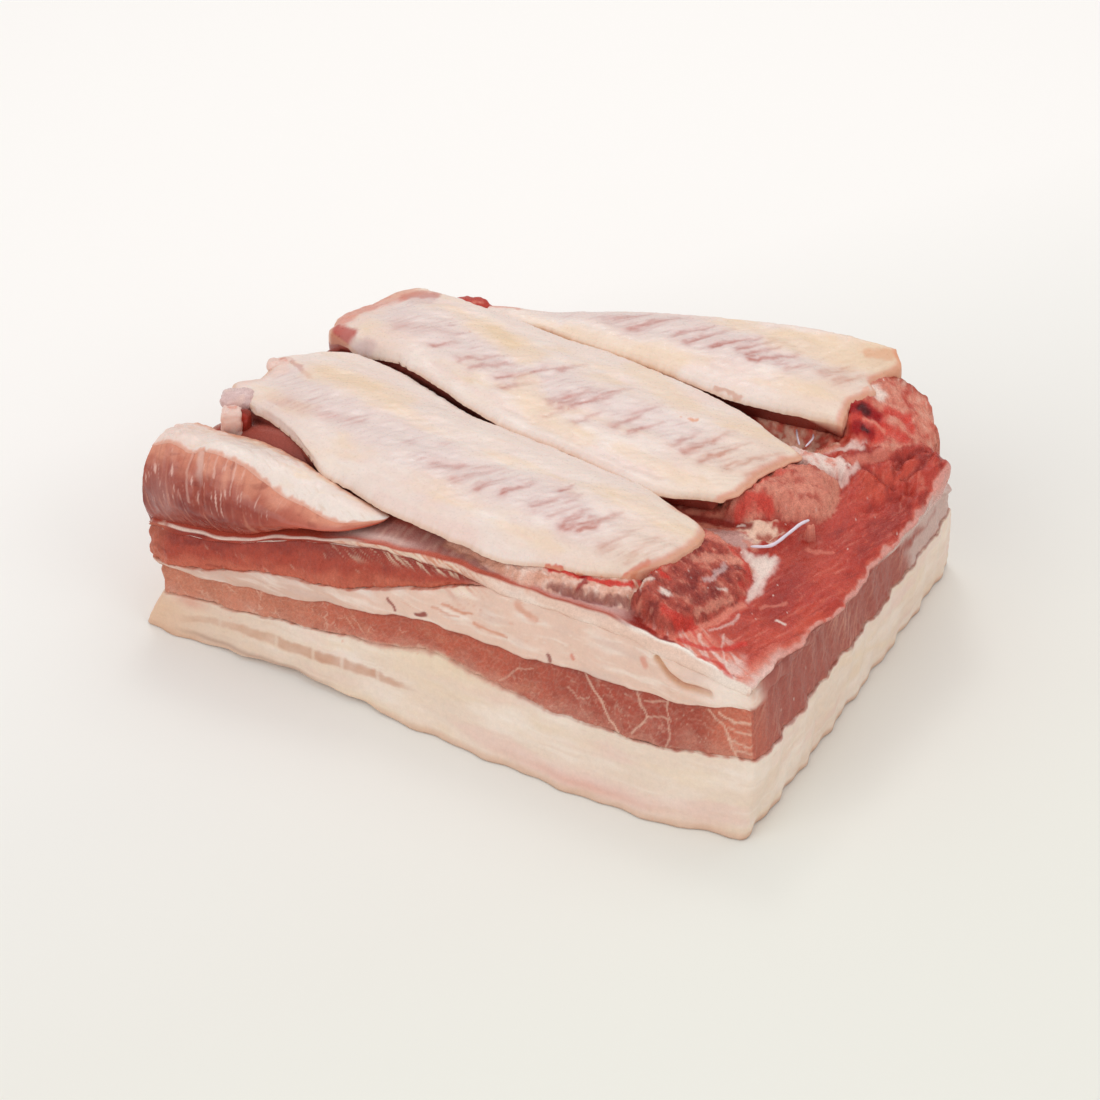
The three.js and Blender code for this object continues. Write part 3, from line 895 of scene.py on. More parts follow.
    def coat(self, z: Array) -> Coat:
        """Paints every tissue at its height.

        Args:
            z: heights, with one column for each of the rim's.

        Returns:
            The coat of the side's points.
        """
        way, x = self._places(z)
        soft = 0.3 + 1.3 * bell(x, 2, 26) * self.front
        fat_top = self.levels[Level.FAT_TOP] + 0.35 * layered(way / 3, z / 3, 3.0)
        fat_top = fat_top + self.front * bell(x, 5, 25) * layered(way / 6, z / 5, 31.0)
        lean_top, upper_foot, upper_top = (
            self.levels[level] + 0.3 * layered(way / 3, z / 3, seed)
            for level, seed in ((Level.LOWER_LEAN_TOP, 8.0), (Level.STREAK_BOTTOM, 13.0), (Level.STREAK_TOP, 19.0))
        )
        coat = self._fat_cap(z)
        coat.wear(self._lower_lean(z), step(z - fat_top, -soft, soft), 0.7)
        coat.wear(self._middle_fat(z), step(z - lean_top, -0.25, 0.3), 0.5)
        in_upper = step(z - upper_foot, -0.3, 0.35) * fade(x, 4, 16) * fade(z - upper_top, -0.3, 0.4)
        coat.wear(self._upper_lean(z), in_upper * (1 - self.right), 0.75)
        shadow = bell(z, self.levels[Level.LOWER_LEAN_TOP] - 0.35, 0.5) * between(x, -34, 62, 8) * self.front
        coat.lay(Tone.UPPER_DARK, 0.7 * shadow)
        self._right_side(coat, z)
        return coat

    def _places(self, z: Array) -> tuple[Array, Array]:
        """The way round and x, spread over the shape of z."""
        return np.broadcast_to(self.way, z.shape), np.broadcast_to(self.x, z.shape)

    def _fat_cap(self, z: Array) -> Coat:
        """Cream fat with faint strings, a tan streak at the left of the front, and the rind at its foot."""
        way, x = self._places(z)
        coat = Coat(z.shape, Tone.FAT, 0.45)
        coat.lay(Tone.FAT_WHITE, 0.45, layered(way / 30, z / 9, 1.0), -0.3, 0.6)
        coat.lay(Tone.FAT_WARM, 0.45, layered(way / 22, z / 6, 5.0), 0.0, 0.8)
        coat.lay(Tone.FAT_PINK, 0.55, layered(way / 34, z / 7, 9.0), 0.05, 0.8)
        strings = layered(way / 30, z / 1.1, 2.0, octaves=2)
        coat.lay(Tone.FAT_STRING, 0.28, strings, 0.3, 1.0)
        coat.lay(Tone.FAT_WHITE, 0.35, -strings, 0.25, 0.9)
        self._front_fat(coat, z)
        foot = z + 0.3 * layered(way / 6, z / 4, 21.0)
        coat.lay(Tone.RIND, (0.6 + 0.2 * self.right) * fade(foot, 0.8, 2.8))
        coat.lay(Tone.RIND_EDGE, (0.3 + 0.35 * self.right) * fade(foot, 0.0, 0.9))
        coat.lay(Tone.SPECK, 0.5, noise(way / 2.2, z / 2.2, 40.0), 0.78, 0.95)
        return coat

    def _front_fat(self, coat: Coat, z: Array) -> None:
        """The front of the fat: a lean streak broken into blocks, an orange left tip and soft stains."""
        way, x = self._places(z)
        share = (x + 88) / 84
        warp = 0.35 * layered(way / 3, z / 3, 2.0)
        top, foot = self.FAT_STREAK_TOP(share), self.FAT_STREAK_FOOT(share)
        gap = np.min([np.abs(x + 0.3 * (z - 9) - place) for place in self.FAT_STREAK_GAPS], axis=0)
        blocks = (0.45 + 0.55 * step(gap, 0.2, 1.1)) * (0.85 + 0.3 * noise(way / 4, z / 6, 4.0))
        streak = step(z + warp, foot - 0.5, foot + 0.5) * fade(z + warp, top - 0.5, top + 0.6)
        streak = streak * step(share, -0.04, 0.05) * fade(share, 0.9, 1.02)
        coat.lay(Tone.STREAK, self.front * 0.9 * blocks * streak)
        left = self.front * fade(x + 0.6 * z, -92, -72) + self.left * 0.8
        coat.lay(Tone.FAT_TIP, 0.85 * left * fade(z, 9, 14))
        coat.lay(Tone.STAIN, 0.8 * self.front * bell(x, -87, 6) * bell(z, 11.9, 1.7))
        coat.lay(Tone.FAT_STRING, 0.45 * self.front * fade(x, -70, -30))
        for tone, cover, x_at, x_reach, z_at, z_reach in self.FAT_CLOUDS:
            coat.lay(tone, cover * self.front * bell(x, x_at, x_reach) * bell(z, z_at, z_reach))
        coat.lay(Tone.RIND_EDGE, 0.45 * self.front * between(x, -84, -34, 8) * bell(z, 2.6, 0.8))

    def _lower_lean(self, z: Array) -> Coat:
        """The lower muscle: tan at the left of the front, redder to the right, in bundles, marbled with fine lines."""
        way, x = self._places(z)
        low = np.broadcast_to(self.levels[Level.FAT_TOP], z.shape)
        share = (z - low) / np.maximum(self.levels[Level.LOWER_LEAN_TOP] - low, 1)
        drift = noise(way / 14, z / 8)
        coat = Coat(z.shape, Tone.LEAN_TAN, 0.6)
        coat.lay(Tone.LEAN_MID, step(x + 8 * drift, -70, -15))
        coat.lay(Tone.LEAN_RED, 0.9, x + 10 * drift, 12, 48)
        coat.lay(Tone.LEAN_CORNER, step(x, 80, 91) * self.front)
        coat.lay(Tone.LEAN_PALE, 0.5 * fade(share + 0.3 * noise(way / 7, z / 4), -0.1, 0.5))
        coat.lay(Tone.LEAN_TAN, 0.5 * step(layered(way / 9, z / 5, 2.0), 0.1, 0.9) * fade(x, 20, 60))
        coat.lay(Tone.LEAN_DARK, 0.35 * step(layered(way / 12, z / 5, 12.0), 0.1, 0.9), x, -40, 20)
        bend = noise(way / 6, z / 6, 9.0)
        near, edge, tone = cells(way / 1.9 + bend, z / 1.6 + bend, 3)
        coat.shade(1.03 - 0.07 * near + 0.045 * tone)
        coat.lay(Tone.MARBLE, 0.12 * fade(edge, 0.03, 0.22))
        warp = layered(way / 5, z / 5, 2.0)
        _, net, patch = cells(way / 6.5 + 0.45 * warp, z / 5.2 - 0.45 * warp, 8)
        coat.shade(1 + 0.05 * patch)
        broken = step(noise(way / 6, z / 6, 30.0), -0.25, 0.35)
        left_net = 0.45 * fade(x, -20, 5) + 0.28 * step(x, 5, 30)
        coat.lay(Tone.MARBLE, left_net * broken * fade(net, 0.015, 0.08))
        a, b = x + 0.7 * noise(way / 4, z / 4), z + 0.5 * noise(way / 4, z / 4, 6.0)
        coat.draw(self.FRONT_MARBLING, a, b, self.front)
        flecks = noise(way / 0.9, z / 0.8, 45.0)
        coat.lay(Tone.MARBLE, 0.5 * step(flecks, 0.62, 0.85) * step(x, 30, 55) * (0.5 + 0.5 * self.front))
        return coat

    def _middle_fat(self, z: Array) -> Coat:
        """Stringy pale fat between the muscles, with faint red threads and a small slit near the front right corner,
        painted with its shade.
        """
        way, x = self._places(z)
        coat = Coat(z.shape, Tone.MID_FAT, 0.5)
        coat.lay(Tone.MID_FAT_LEFT, fade(x, -60, -10))
        coat.lay(Tone.FAT_WHITE, 0.5, layered(way / 16, z / 2.4, 1.0), 0.0, 0.8)
        coat.lay(Tone.MID_FAT_GREY, 0.4, layered(way / 20, z / 5, 6.0), 0.1, 0.8)
        threads = layered(way / 10, (z + 0.14 * x) / 0.8, 3.0, octaves=2)
        coat.lay(Tone.FIBRE_ORANGE, 0.42 * step(threads, 0.5, 1.1) * fade(x, 20, 50))
        coat.lay(Tone.FAT_STRING, 0.35 * step(threads, 0.5, 1.1), x, 20, 50)
        coat.lay(Tone.FAT_WHITE, 0.35, -threads, 0.45, 1.0)
        feather = self._feather(x, z)
        top = np.broadcast_to(self.levels[Level.STREAK_TOP], z.shape)
        over_wedge = between(x, -38, 10, 8) * step(z - top, -8, -1.5)
        coat.lay(Tone.FIBRE_ORANGE, self.front * 0.8 * over_wedge, feather, -0.1, 0.6)
        coat.lay(Tone.FAT_WARM, self.front * 0.6 * over_wedge, -feather, 0.0, 0.6)
        self._flecks(coat, x, z)
        slit = line_distance(x, z, self.SLIT)
        # painted shade of the slit: tan along it and darker in its middle
        coat.lay(Tone.FOLD, 0.8 * self.front * fade(slit, 0.4, 1.3))
        coat.lay(Tone.SKIRT_DARK, 0.45 * self.front * fade(slit, 0.1, 0.6), x, 70, 74)
        coat.lay(Tone.FAT_WHITE, 0.7 * self.front * bell(x, 92, 8), z, 34, 37)
        return coat

    @staticmethod
    def _feather(x: Array, z: Array) -> Array:
        """Fine strands that lean to the left, where the upper muscle frays into the fat over it."""
        return layered((x + 2.2 * z) / 1.7, (z - 0.5 * x) / 12, 7.0, octaves=2)

    def _flecks(self, coat: Coat, x: Array, z: Array) -> None:
        """Lays the flecks and short threads of the front on."""
        a, b = x + 0.8 * noise(self.way / 4, z / 4), z + 0.5 * noise(self.way / 3, z / 3, 6.0)
        coat.draw(self.FRONT_FLECKS, a, b, self.front)

    def _upper_lean(self, z: Array) -> Coat:
        """The upper muscle: redder, dark under its top edge, with torn flecks and short cracks."""
        way, x = self._places(z)
        low = np.broadcast_to(self.levels[Level.STREAK_BOTTOM], z.shape)
        share = (z - low) / np.maximum(self.levels[Level.STREAK_TOP] - low, 1)
        coat = Coat(z.shape, Tone.UPPER, 0.75)
        coat.lay(Tone.UPPER_LIGHT, 0.9 * fade(share + 0.25 * noise(way / 9, z / 4), 0.0, 0.6))
        coat.lay(Tone.UPPER_DARK, 0.75, share + 0.3 * noise(way / 8, z / 4, 3.0), 0.55, 1.0)
        near, _, tone = cells(way / 2.0 + noise(way / 5, z / 5), z / 1.5, 14)
        coat.shade(1.03 - 0.08 * near + 0.05 * tone)
        flecks = layered((x + z) / 1.6, (z - 0.3 * x) / 4.5, 9.0, octaves=2)
        coat.lay(Tone.MARBLE, 0.35, flecks, 0.6, 1.1)
        coat.lay(Tone.FLAP_DARK, 0.35, -flecks, 0.6, 1.1)
        feather = self._feather(x, z)
        coat.lay(Tone.FAT_WARM, self.front * 0.7 * step(x, -42, -28) * step(share, 0.55, 0.95), -feather, 0, 0.6)
        self._flecks(coat, x, z)
        coat.lay(Tone.LEAN_TAN, 0.5 * self.front * fade(x, -98, -88))
        return coat

    def _right_side(self, coat: Coat, z: Array) -> None:
        """The right cut: darker drawn-out fibres under a thin line of fat, pale patches towards the back and painted
        white glints.
        """
        way, _ = self._places(z)
        y = np.broadcast_to(self.y, z.shape)
        drift = noise(way / 9, z / 6, 2.0)
        fat_top = self.levels[Level.FAT_TOP] + 0.7 * layered(way / 5, z / 4, 3.0)
        lean = step(z - fat_top, -0.6, 1.0) * self.right
        white_corner = fade(y + 2 * drift, -64, -57) * step(z + drift, 37.5, 39.5)
        fibres = layered((y - 1.1 * z) / 1.3, (y + z) / 18, 4.0)
        coat.lay(Tone.LEAN_SIDE, lean * (1 - white_corner))
        coat.lay(Tone.LEAN_CORNER, 0.5 * lean * fade(y, -66, -52) * (1 - white_corner))
        coat.lay(Tone.LEAN_DARK, 0.4 * lean * step(-fibres, 0.1, 0.9) * (1 - white_corner))
        coat.lay(Tone.LEAN_PALE, 0.5 * lean, fibres, 0.2, 1.0)
        coat.lay(Tone.LEAN_PALE, 0.6 * lean * bell(y + 0.9 * (z - 30), -8, 9), fibres, -0.3, 0.5)
        grey = lean * step(y + 4 * drift, 8, 18) * step(z + 0.2 * y - 2 * drift, 38, 42)
        grey = np.maximum(grey, lean * step(y + 4 * drift, 34, 44) * fade(z - fat_top, 5, 8))
        coat.lay(Tone.MID_FAT_GREY, 0.8 * grey)
        # painted glints: white specks for the light on the wet lean
        painted_glints = step(noise(y / 0.9, z / 0.9, 64.0), 0.8, 0.9)
        coat.lay(Tone.FAT_WHITE, 0.8 * lean * painted_glints * bell(y, -36, 12))
        pale_line = self.right * bell(y + 2.2 * (z - 14), 4, 3.0) * fade(z - fat_top, -6, 0)
        coat.lay(Tone.FAT_WARM, 0.5 * pale_line)


@dataclass(frozen=True)
class SlabLayer:
    """One layer of the slab between two levels, closed above and below.

    Sizes are in mm: how far its side bulges, and over what width it is rounded at its edges.
    """

    name: str
    lower: Level
    upper: Level
    finish: Finish
    rows: int
    bulge: float
    rounding: float = 0.3
    end: float = 1.0

    RINGS = (0.99, 0.96, 0.9, 0.8, 0.62, 0.4, 0.18)

    def build(self) -> bpy.types.Object:
        """Walks the rings of the bottom, the rows of the side and the rings of the top.

        A ring at share f holds the points of its level at f u, f v. A side row at share h lies on the straight
        line from the lower level to the upper one, moved out by bulge 4 h (1 - h), by the relief, and by the
        rounding, which takes back r (1 - sqrt(1 - d^2)) where d is the share of r left to the edge.

        Returns:
            The finished piece.
        """
        u, v, normal, way = Rim().walk()
        u = mix(-1.0, self.end, (u + 1) / 2)
        paint = SidePaint(u, v, normal, way)
        outward = np.column_stack([normal, np.zeros(len(u))])
        low = FORM.point(self.lower, u, v)
        high = FORM.point(self.upper, u, v)
        low[:, 2] += paint.wiggle(self.lower)
        high[:, 2] += paint.wiggle(self.upper)
        share = self._rows_of_share()
        side = mix(low, high, share)
        height = np.maximum(high[:, 2] - low[:, 2], 0.3)
        edge = np.minimum(share[..., 0], 1 - share[..., 0]) * height
        left_over = np.clip(1 - edge / self.rounding, 0, 1)
        out = 4 * self.bulge * share[..., 0] * (1 - share[..., 0])
        out = out + paint.relief(self.lower, side[..., 2])
        out = out - self.rounding * (1 - np.sqrt(np.clip(1 - left_over**2, 0, 1)))
        side = side + out[..., None] * outward
        bottom = [self._ring(self.lower, u, v, f, side[0], low) for f in reversed(self.RINGS)]
        top = [self._ring(self.upper, u, v, f, side[-1], high) for f in self.RINGS]
        loops = np.concatenate([np.stack(bottom), side, np.stack(top)])
        spread = np.concatenate([np.zeros(len(bottom), int), np.arange(len(side)), np.full(len(top), len(side) - 1)])
        coat = paint.coat(side[..., 2]).picked(spread)
        if self.lower is Level.UNDERSIDE:
            self._skin(coat, loops, len(bottom))
        return loft(self.name, loops, coat, self.finish)

    def _rows_of_share(self) -> Array:
        """Shares of the way up the side, closer together at its edges: (1.25 e - 0.25 e^3 + 1) / 2, e from -1 to 1."""
        even = np.linspace(-1, 1, self.rows)
        return ((1.25 * even - 0.25 * even**3 + 1) / 2)[:, None, None]

    def _ring(self, level: Level, u: Array, v: Array, f: float, rim: Array, plain: Array) -> Array:
        """A ring of a level, that shares the rim's own relief where it is close to it."""
        centre = mix(-1.0, self.end, 0.5)
        ring = FORM.point(level, centre + (u - centre) * f, v * f)
        close = np.clip((f - 0.9) / 0.1, 0, 1)
        return ring + (rim - plain) * close

    @staticmethod
    def _skin(coat: Coat, loops: Array, rings: int) -> None:
        """Paints the skin on the rings of the underside."""
        x, y = loops[:rings, :, 0], loops[:rings, :, 1]
        skin = Coat(x.shape, Tone.SKIN, 0.35)
        skin.lay(Tone.FAT_PINK, 0.6, layered(x / 24, y / 24, 3.0), -0.2, 0.7)
        skin.lay(Tone.RIND, 0.45, layered(x / 15, y / 9, 8.0), 0.1, 0.9)
        coat.colour[:rings], coat.wet[:rings] = skin.colour, skin.wet


def place(piece: bpy.types.Object, slot: str, *nodes: str) -> bpy.types.Object:
    """Rides a piece on the slab and hides the solids that it stands for."""
    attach(piece, BODY)
    if nodes:
        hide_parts(*nodes)
    log.info("%s: %d faces", piece.name, len(piece.data.polygons))
    return piece


# ---- the bed under the ribs and the red shelf -----------------------------------------------------------------------
def bed_height(x: Array, y: Array) -> Array:
    """The plain height of the bed at a place."""
    return FORM.height(Level.BED, *FORM.place_of(Level.BED, x, y))


@dataclass(frozen=True, eq=False)
class Mass:
    """A lumpy piece of tissue that stands on the bed inside an outline, with a leaning plane for its top.

    Sizes are in mm. The plane has its height at a place and its rise per mm along x and y, the ramp is how far inside
    the outline the plane is reached, and the tones are the colours of the body, of its hollows and of its crumbs.
    """

    outline: Line
    place: tuple[float, float]
    height: float
    lean: tuple[float, float]
    tones: tuple[Array, Array, Array]
    ramp: float = 3.0
    rough: float = 0.8
    crumb: float = 1.0
    cap: float = 57.0

    def depth(self, x: Array, y: Array) -> Array:
        """How far inside the uneven outline a point lies."""
        ragged = 0.9 * layered(x / 3.5, y / 3.5, self.height) + 0.5 * layered(x / 1.2, y / 1.2, 3.0)
        return inside_depth(x, y, self.outline) + ragged

    def raised(self, x: Array, y: Array, z: Array) -> Array:
        """Heights z with the mass on them: the plane from the ramp's end on, and 1 - (1 - w)^2 of it at the share w."""
        share = 1 - (1 - np.clip(self.depth(x, y) / self.ramp, 0, 1)) ** 2
        plane = self.height + self.lean[0] * (x - self.place[0]) + self.lean[1] * (y - self.place[1])
        plane = np.minimum(plane, self.cap)
        lumps = 0.9 * layered(x / 4.5, y / 3.5, 5.0) + 0.28 * layered(x / 1.0, y / 1.1, 8.0, octaves=2)
        return mix(z, np.maximum(z, plane), share) + self.rough * lumps * share

    def paint(self, coat: Coat, x: Array, y: Array) -> None:
        """Lays the body with its hollows and crumbs, and painted white glints."""
        cover = step(self.depth(x, y), -0.4, 0.6)
        patch, crumbs = layered(x / 4, y / 4, 5.0), layered(x / 1.4, y / 1.4, 8.0)
        body = Coat(x.shape, self.tones[0])
        body.lay(self.tones[1], 0.8, -patch, -0.1, 0.7).lay(self.tones[2], 0.5, patch, 0.1, 0.8)
        body.lay(self.tones[1], 0.5, -crumbs, 0.2, 0.9).lay(self.tones[2], 0.6, crumbs, 0.25, 0.9)
        body.lay(Tone.SINEW, 0.55 * self.crumb, noise(x / 1.1, y / 1.1, 44.0), 0.68, 0.95)
        # painted glints: white specks for the light on the wet tissue
        body.lay(Tone.FAT_WHITE, 0.8, noise(x / 0.8, y / 0.8, 64.0), 0.78, 0.9)
        coat.lay(body.colour, cover).moisten(0.85, cover).roughen(self.crumb * cover)


MASSES = (
    Mass(
        ((54, -54), (54, -30), (54, -17), (63.3, -15.8), (70.5, -17.5), (75, -19.5), (77.3, -25), (77.5, -33),
         (75.5, -41.4), (72.5, -49.5), (70, -54.8), (67, -57.5), (62, -56.5)),
        (67, -36), 53.8, (-0.45, 0.05), (Tone.BONE, Tone.BONE_DARK, Tone.BONE_PALE), 3.0, 0.55,
    ),
    Mass(
        ((55, 2), (57, 14), (62, 25), (70, 30), (79.5, 29.5), (82.6, 22), (82.5, 16), (81, 9), (76, 7.4), (71.7, 6.2),
         (68, 3.2), (63.3, -0.5), (58, -2)),
        (71, 14), 55.6, (-0.26, 0.13), (Tone.END_TAN, Tone.BONE, Tone.BONE_PALE), 5.5, 0.9,
    ),
    Mass(
        ((60, 30), (66, 27.5), (76, 29), (79, 33), (79, 38), (72, 38.5), (65, 37.5), (60, 35)),
        (70, 33), 54.3, (-0.16, -0.08), (Tone.CREAM_PINK, Tone.RED_PALE, Tone.SINEW), 2.0, 0.6, 0.4,
    ),
    Mass(
        ((62, 62), (68, 56), (71, 51), (78, 48.5), (87, 51), (93, 58), (98, 65), (96, 70), (92.5, 75), (90.5, 79),
         (90, 84), (88, 92), (74, 92), (62, 86)),
        (80, 66), 57.8, (-0.34, 0.24), (Tone.END_TAN, Tone.RED, Tone.SKIRT_CREAM), 4.0, 0.8, 0.6, 60.8,
    ),
    Mass(
        ((-9, -47), (-6, -51.5), (4, -53.8), (12, -56.6), (21, -57.6), (32, -57.2), (42, -56.6), (50, -55.6),
         (54.5, -54), (55.5, -49), (54, -40), (46, -40), (20, -42), (-4, -44)),
        (28, -50), 53.4, (0.012, 0.1), (Tone.SKIRT_CREAM, Tone.SKIRT, Tone.SINEW), 4.5, 0.8, 0.6, 55.5,
    ),
    Mass(
        ((80.2, 3), (81, 1.6), (83, 1.8), (84.2, 3.4), (83.2, 5.2), (81, 5)),
        (82, 3.5), 52.1, (0, 0), (Tone.RED_PALE, Tone.BONE, Tone.END_TAN), 0.9, 0.3, 0.4,
    ),
)


class BedPaint:
    """The look of the bed: the greyish strip under the first rib, the meat between the ribs and the cut red shelf."""

    FAN = ((66, -58), (72, -57), (80, -59), (90, -65))
    SINEW_PATCH = (
        (68, -12), (72.5, -13.5), (78, -10.5), (79.5, -14), (79, -19), (80, -26), (79, -31), (78, -26), (76.5, -20.5),
        (72.5, -17.5),
    )
    PALE_MARKS = marks(
        (Tone.SKIRT_DARK, 0.5, 0.8, 80, 0.8, 79.3, 3.5, 80.5, 6),
        (Tone.RED_PALE, 0.9, 0.5, 84, -1, 87, 0, 90, 2),
        (Tone.RED_PALE, 0.6, 0.5, 83, -31, 86, -27, 88, -25),
        (Tone.SINEW, 0.5, 0.8, 89, -33, 91.5, -33.2),
        (Tone.CREAM_PINK, 0.45, 0.5, 76, -49.5, 79, -44, 80.3, -39),
        (Tone.RED_PALE, 1.2, 0.8, 73, -51, 76.5, -42, 78.5, -34),
        (Tone.SINEW, 0.4, 0.45, 70, -55, 74, -59, 78, -61),
        (Tone.SINEW, 0.4, 0.45, 75, -53, 80, -59, 86, -64),
        (Tone.SINEW, 0.35, 0.4, 80, -48, 83, -55, 88, -62),
        (Tone.RED_BRIGHT, 0.9, 0.8, 71, -57, 77, -57, 83, -54, 86, -48),
        (Tone.RED_BRIGHT, 0.8, 0.7, 80, -60.4, 85, -60, 89, -63, 90.5, -66.5),
        (Tone.CREAM_PINK, 1.0, 0.75, 76, 48.6, 80, 51.3, 84, 54),
        (Tone.CREAM_PINK, 1.6, 0.8, 70, 42, 74, 44, 78, 47),
        (Tone.CREAM_PINK, 0.9, 0.7, 80, 30, 80, 34, 81, 39),
        (Tone.RED_PALE, 1.8, 0.6, 79, 40, 83, 45, 86, 50),
    )
    FISSURES = marks(
        (Tone.RED_DARK, 0.7, 0.7, 95, 58, 93.5, 55, 92, 51, 91, 46),
        (Tone.RED_DARK, 0.7, 0.7, 97, 60, 97.3, 56, 97, 49, 94, 43),
        (Tone.RED_DARK, 0.7, 0.6, 82, 40, 87.6, 40, 93, 38.5),
        (Tone.RED_DARK, 0.6, 0.5, 84, 46, 89, 48, 92, 52),
        (Tone.RED_DARK, 0.6, 0.4, 90, 26, 93, 33, 98, 40),
    )
    HOLE_MARKS = marks(
        (Tone.RED_DARK, 1.6, 0.9, 45, -7, 51, -4.5, 57, -3, 65, -2.5),
        (Tone.SKIRT_DARK, 1.3, 0.85, 70, -5, 72, -3),
        (Tone.SKIRT_DARK, 0.8, 0.8, 74.5, 0.5, 76, 1.5),
        (Tone.STAIN, 0.8, 0.6, 68, -9, 72, -11),
        (Tone.SINEW, 0.6, 0.9, 63, -3, 64, -2.5),
    )
    END_MARKS = marks(
        (Tone.BONE_PALE, 2.4, 0.7, 55, -16, 62, -17, 68, -18, 73, -20.5),
        (Tone.RED_BRIGHT, 1.2, 0.75, 68, -19.5, 72, -20, 75, -22),
        (Tone.RED_BRIGHT, 1.0, 0.5, 76, -23, 76.5, -29),
        (Tone.RED_PALE, 1.4, 0.7, 61, -22, 66, -18.5),
        (Tone.RED_BRIGHT, 1.5, 0.75, 65, -54, 69, -54, 72, -51),
        (Tone.RED_BRIGHT, 0.9, 0.8, 53, -45.5, 57, -42.5, 60, -44),
        # a painted lilac sheen on the first rib's cut end
        (Tone.CREAM_LILAC, 0.8, 0.6, 68.5, -36, 69.5, -31, 70, -27),
        (Tone.BONE_PALE, 1.2, 0.6, 63, -32, 66, -27, 71, -23),
        (Tone.BONE_PALE, 0.8, 0.6, 71.5, -47, 74, -41, 76, -35),
        (Tone.SINEW, 0.7, 0.7, 72.5, -36, 74, -34),
        (Tone.SINEW, 0.9, 0.85, 61.5, -49.5, 63.5, -48.5),
        (Tone.BONE_DARK, 1.4, 0.6, 65, -46, 66.5, -41, 65, -37),
        (Tone.BONE_DARK, 1.3, 0.6, 69, -46, 71, -40, 71, -35),
        (Tone.RED_BRIGHT, 1.8, 0.75, 61.5, 0.5, 64, 4.5, 68, 5.5),
        (Tone.RED_BRIGHT, 0.8, 0.5, 62, 8, 64, 14, 68, 20),
        (Tone.BONE_PALE, 1.0, 0.8, 79, 28.5, 81, 24, 82, 18),
        (Tone.SINEW, 1.8, 0.85, 73, 68, 76, 67),
        (Tone.RED_BRIGHT, 1.6, 0.8, 80, 63.5, 85, 65, 88.5, 62),
        (Tone.RED_BRIGHT, 2.0, 0.75, 81, 57, 85, 58, 88, 57),
        (Tone.RED_BRIGHT, 3.4, 0.8, 70, 57, 74, 59.4, 79, 58.2),
        (Tone.RED_BRIGHT, 2.6, 0.8, 74, 54, 78, 52.4, 81, 53),
        (Tone.BLOOD, 2.4, 0.95, 70.5, 57.6, 74, 59.6, 77.5, 59),
        (Tone.BLOOD, 2.0, 0.95, 74.5, 53, 79, 52.4),
        (Tone.BLOOD_DARK, 1.6, 0.9, 73.4, 59.4, 74.8, 59),
        (Tone.BLOOD_DARK, 1.0, 0.9, 77, 52.6, 78, 52.4),
        (Tone.RED_PALE, 0.7, 0.8, 76, 56.3, 82, 56.5),
        (Tone.SPECK, 1.0, 0.6, 80, 84, 83, 82, 86, 77),
        (Tone.SINEW, 1.4, 0.7, 14, -52.5, 22, -52.5, 30, -51.5),
        (Tone.RED_BRIGHT, 0.9, 0.95, 27, -52, 36, -51.6, 44, -50.6, 52, -48.6),
        (Tone.BLOOD, 0.7, 0.85, 38, -50.5, 40, -53, 39, -55),
        (Tone.BONE_DARK, 1.0, 0.7, 31, -56.4, 40, -56, 46, -55.6, 53, -53.5),
        (Tone.SINEW, 1.2, 0.7, 54, -49, 57, -47.5),
        (Tone.SKIRT, 1.8, 0.9, -4, -52, 6, -53.2, 14, -55),
    )

    def coat(self, x: Array, y: Array, z: Array, edge: Array, rim: Array) -> Coat:
        """Paints the bed's top and sides.

        Args:
            x: first coordinate in mm.
            y: second coordinate in mm.
            z: height in mm.
            edge: distance to the front edge in mm, below 0 down the front side.
            rim: distance to the right edge in mm.

        Returns:
            The coat of the bed's points.
        """
        coat = Coat(x.shape, Tone.RED_DARK, 0.8)
        # left of x 30 the bed under the ribs takes the recess colour: maroon meat with painted shade
        coat.lay(Tone.RECESS_MEAT_AND_SHADE, fade(x, 30, 48))
        self._front_slope(coat, x, y, edge)
        self._shelf(coat, x, y, edge, rim)
        self._holes(coat, x, y)
        for mass in MASSES:
            mass.paint(coat, x, y)
        coat.draw(self.END_MARKS, *wobbled(x, y, 0.8, 2.5))
        lumps = layered(x / 3, z / 3, 2.0)
        wall = step(y, 74, 77) + fade(x, -97, -94)
        coat.lay(Tone.UPPER, 0.9 * wall).lay(Tone.MID_FAT, 0.8 * wall, lumps, 0.1, 0.7)
        return coat

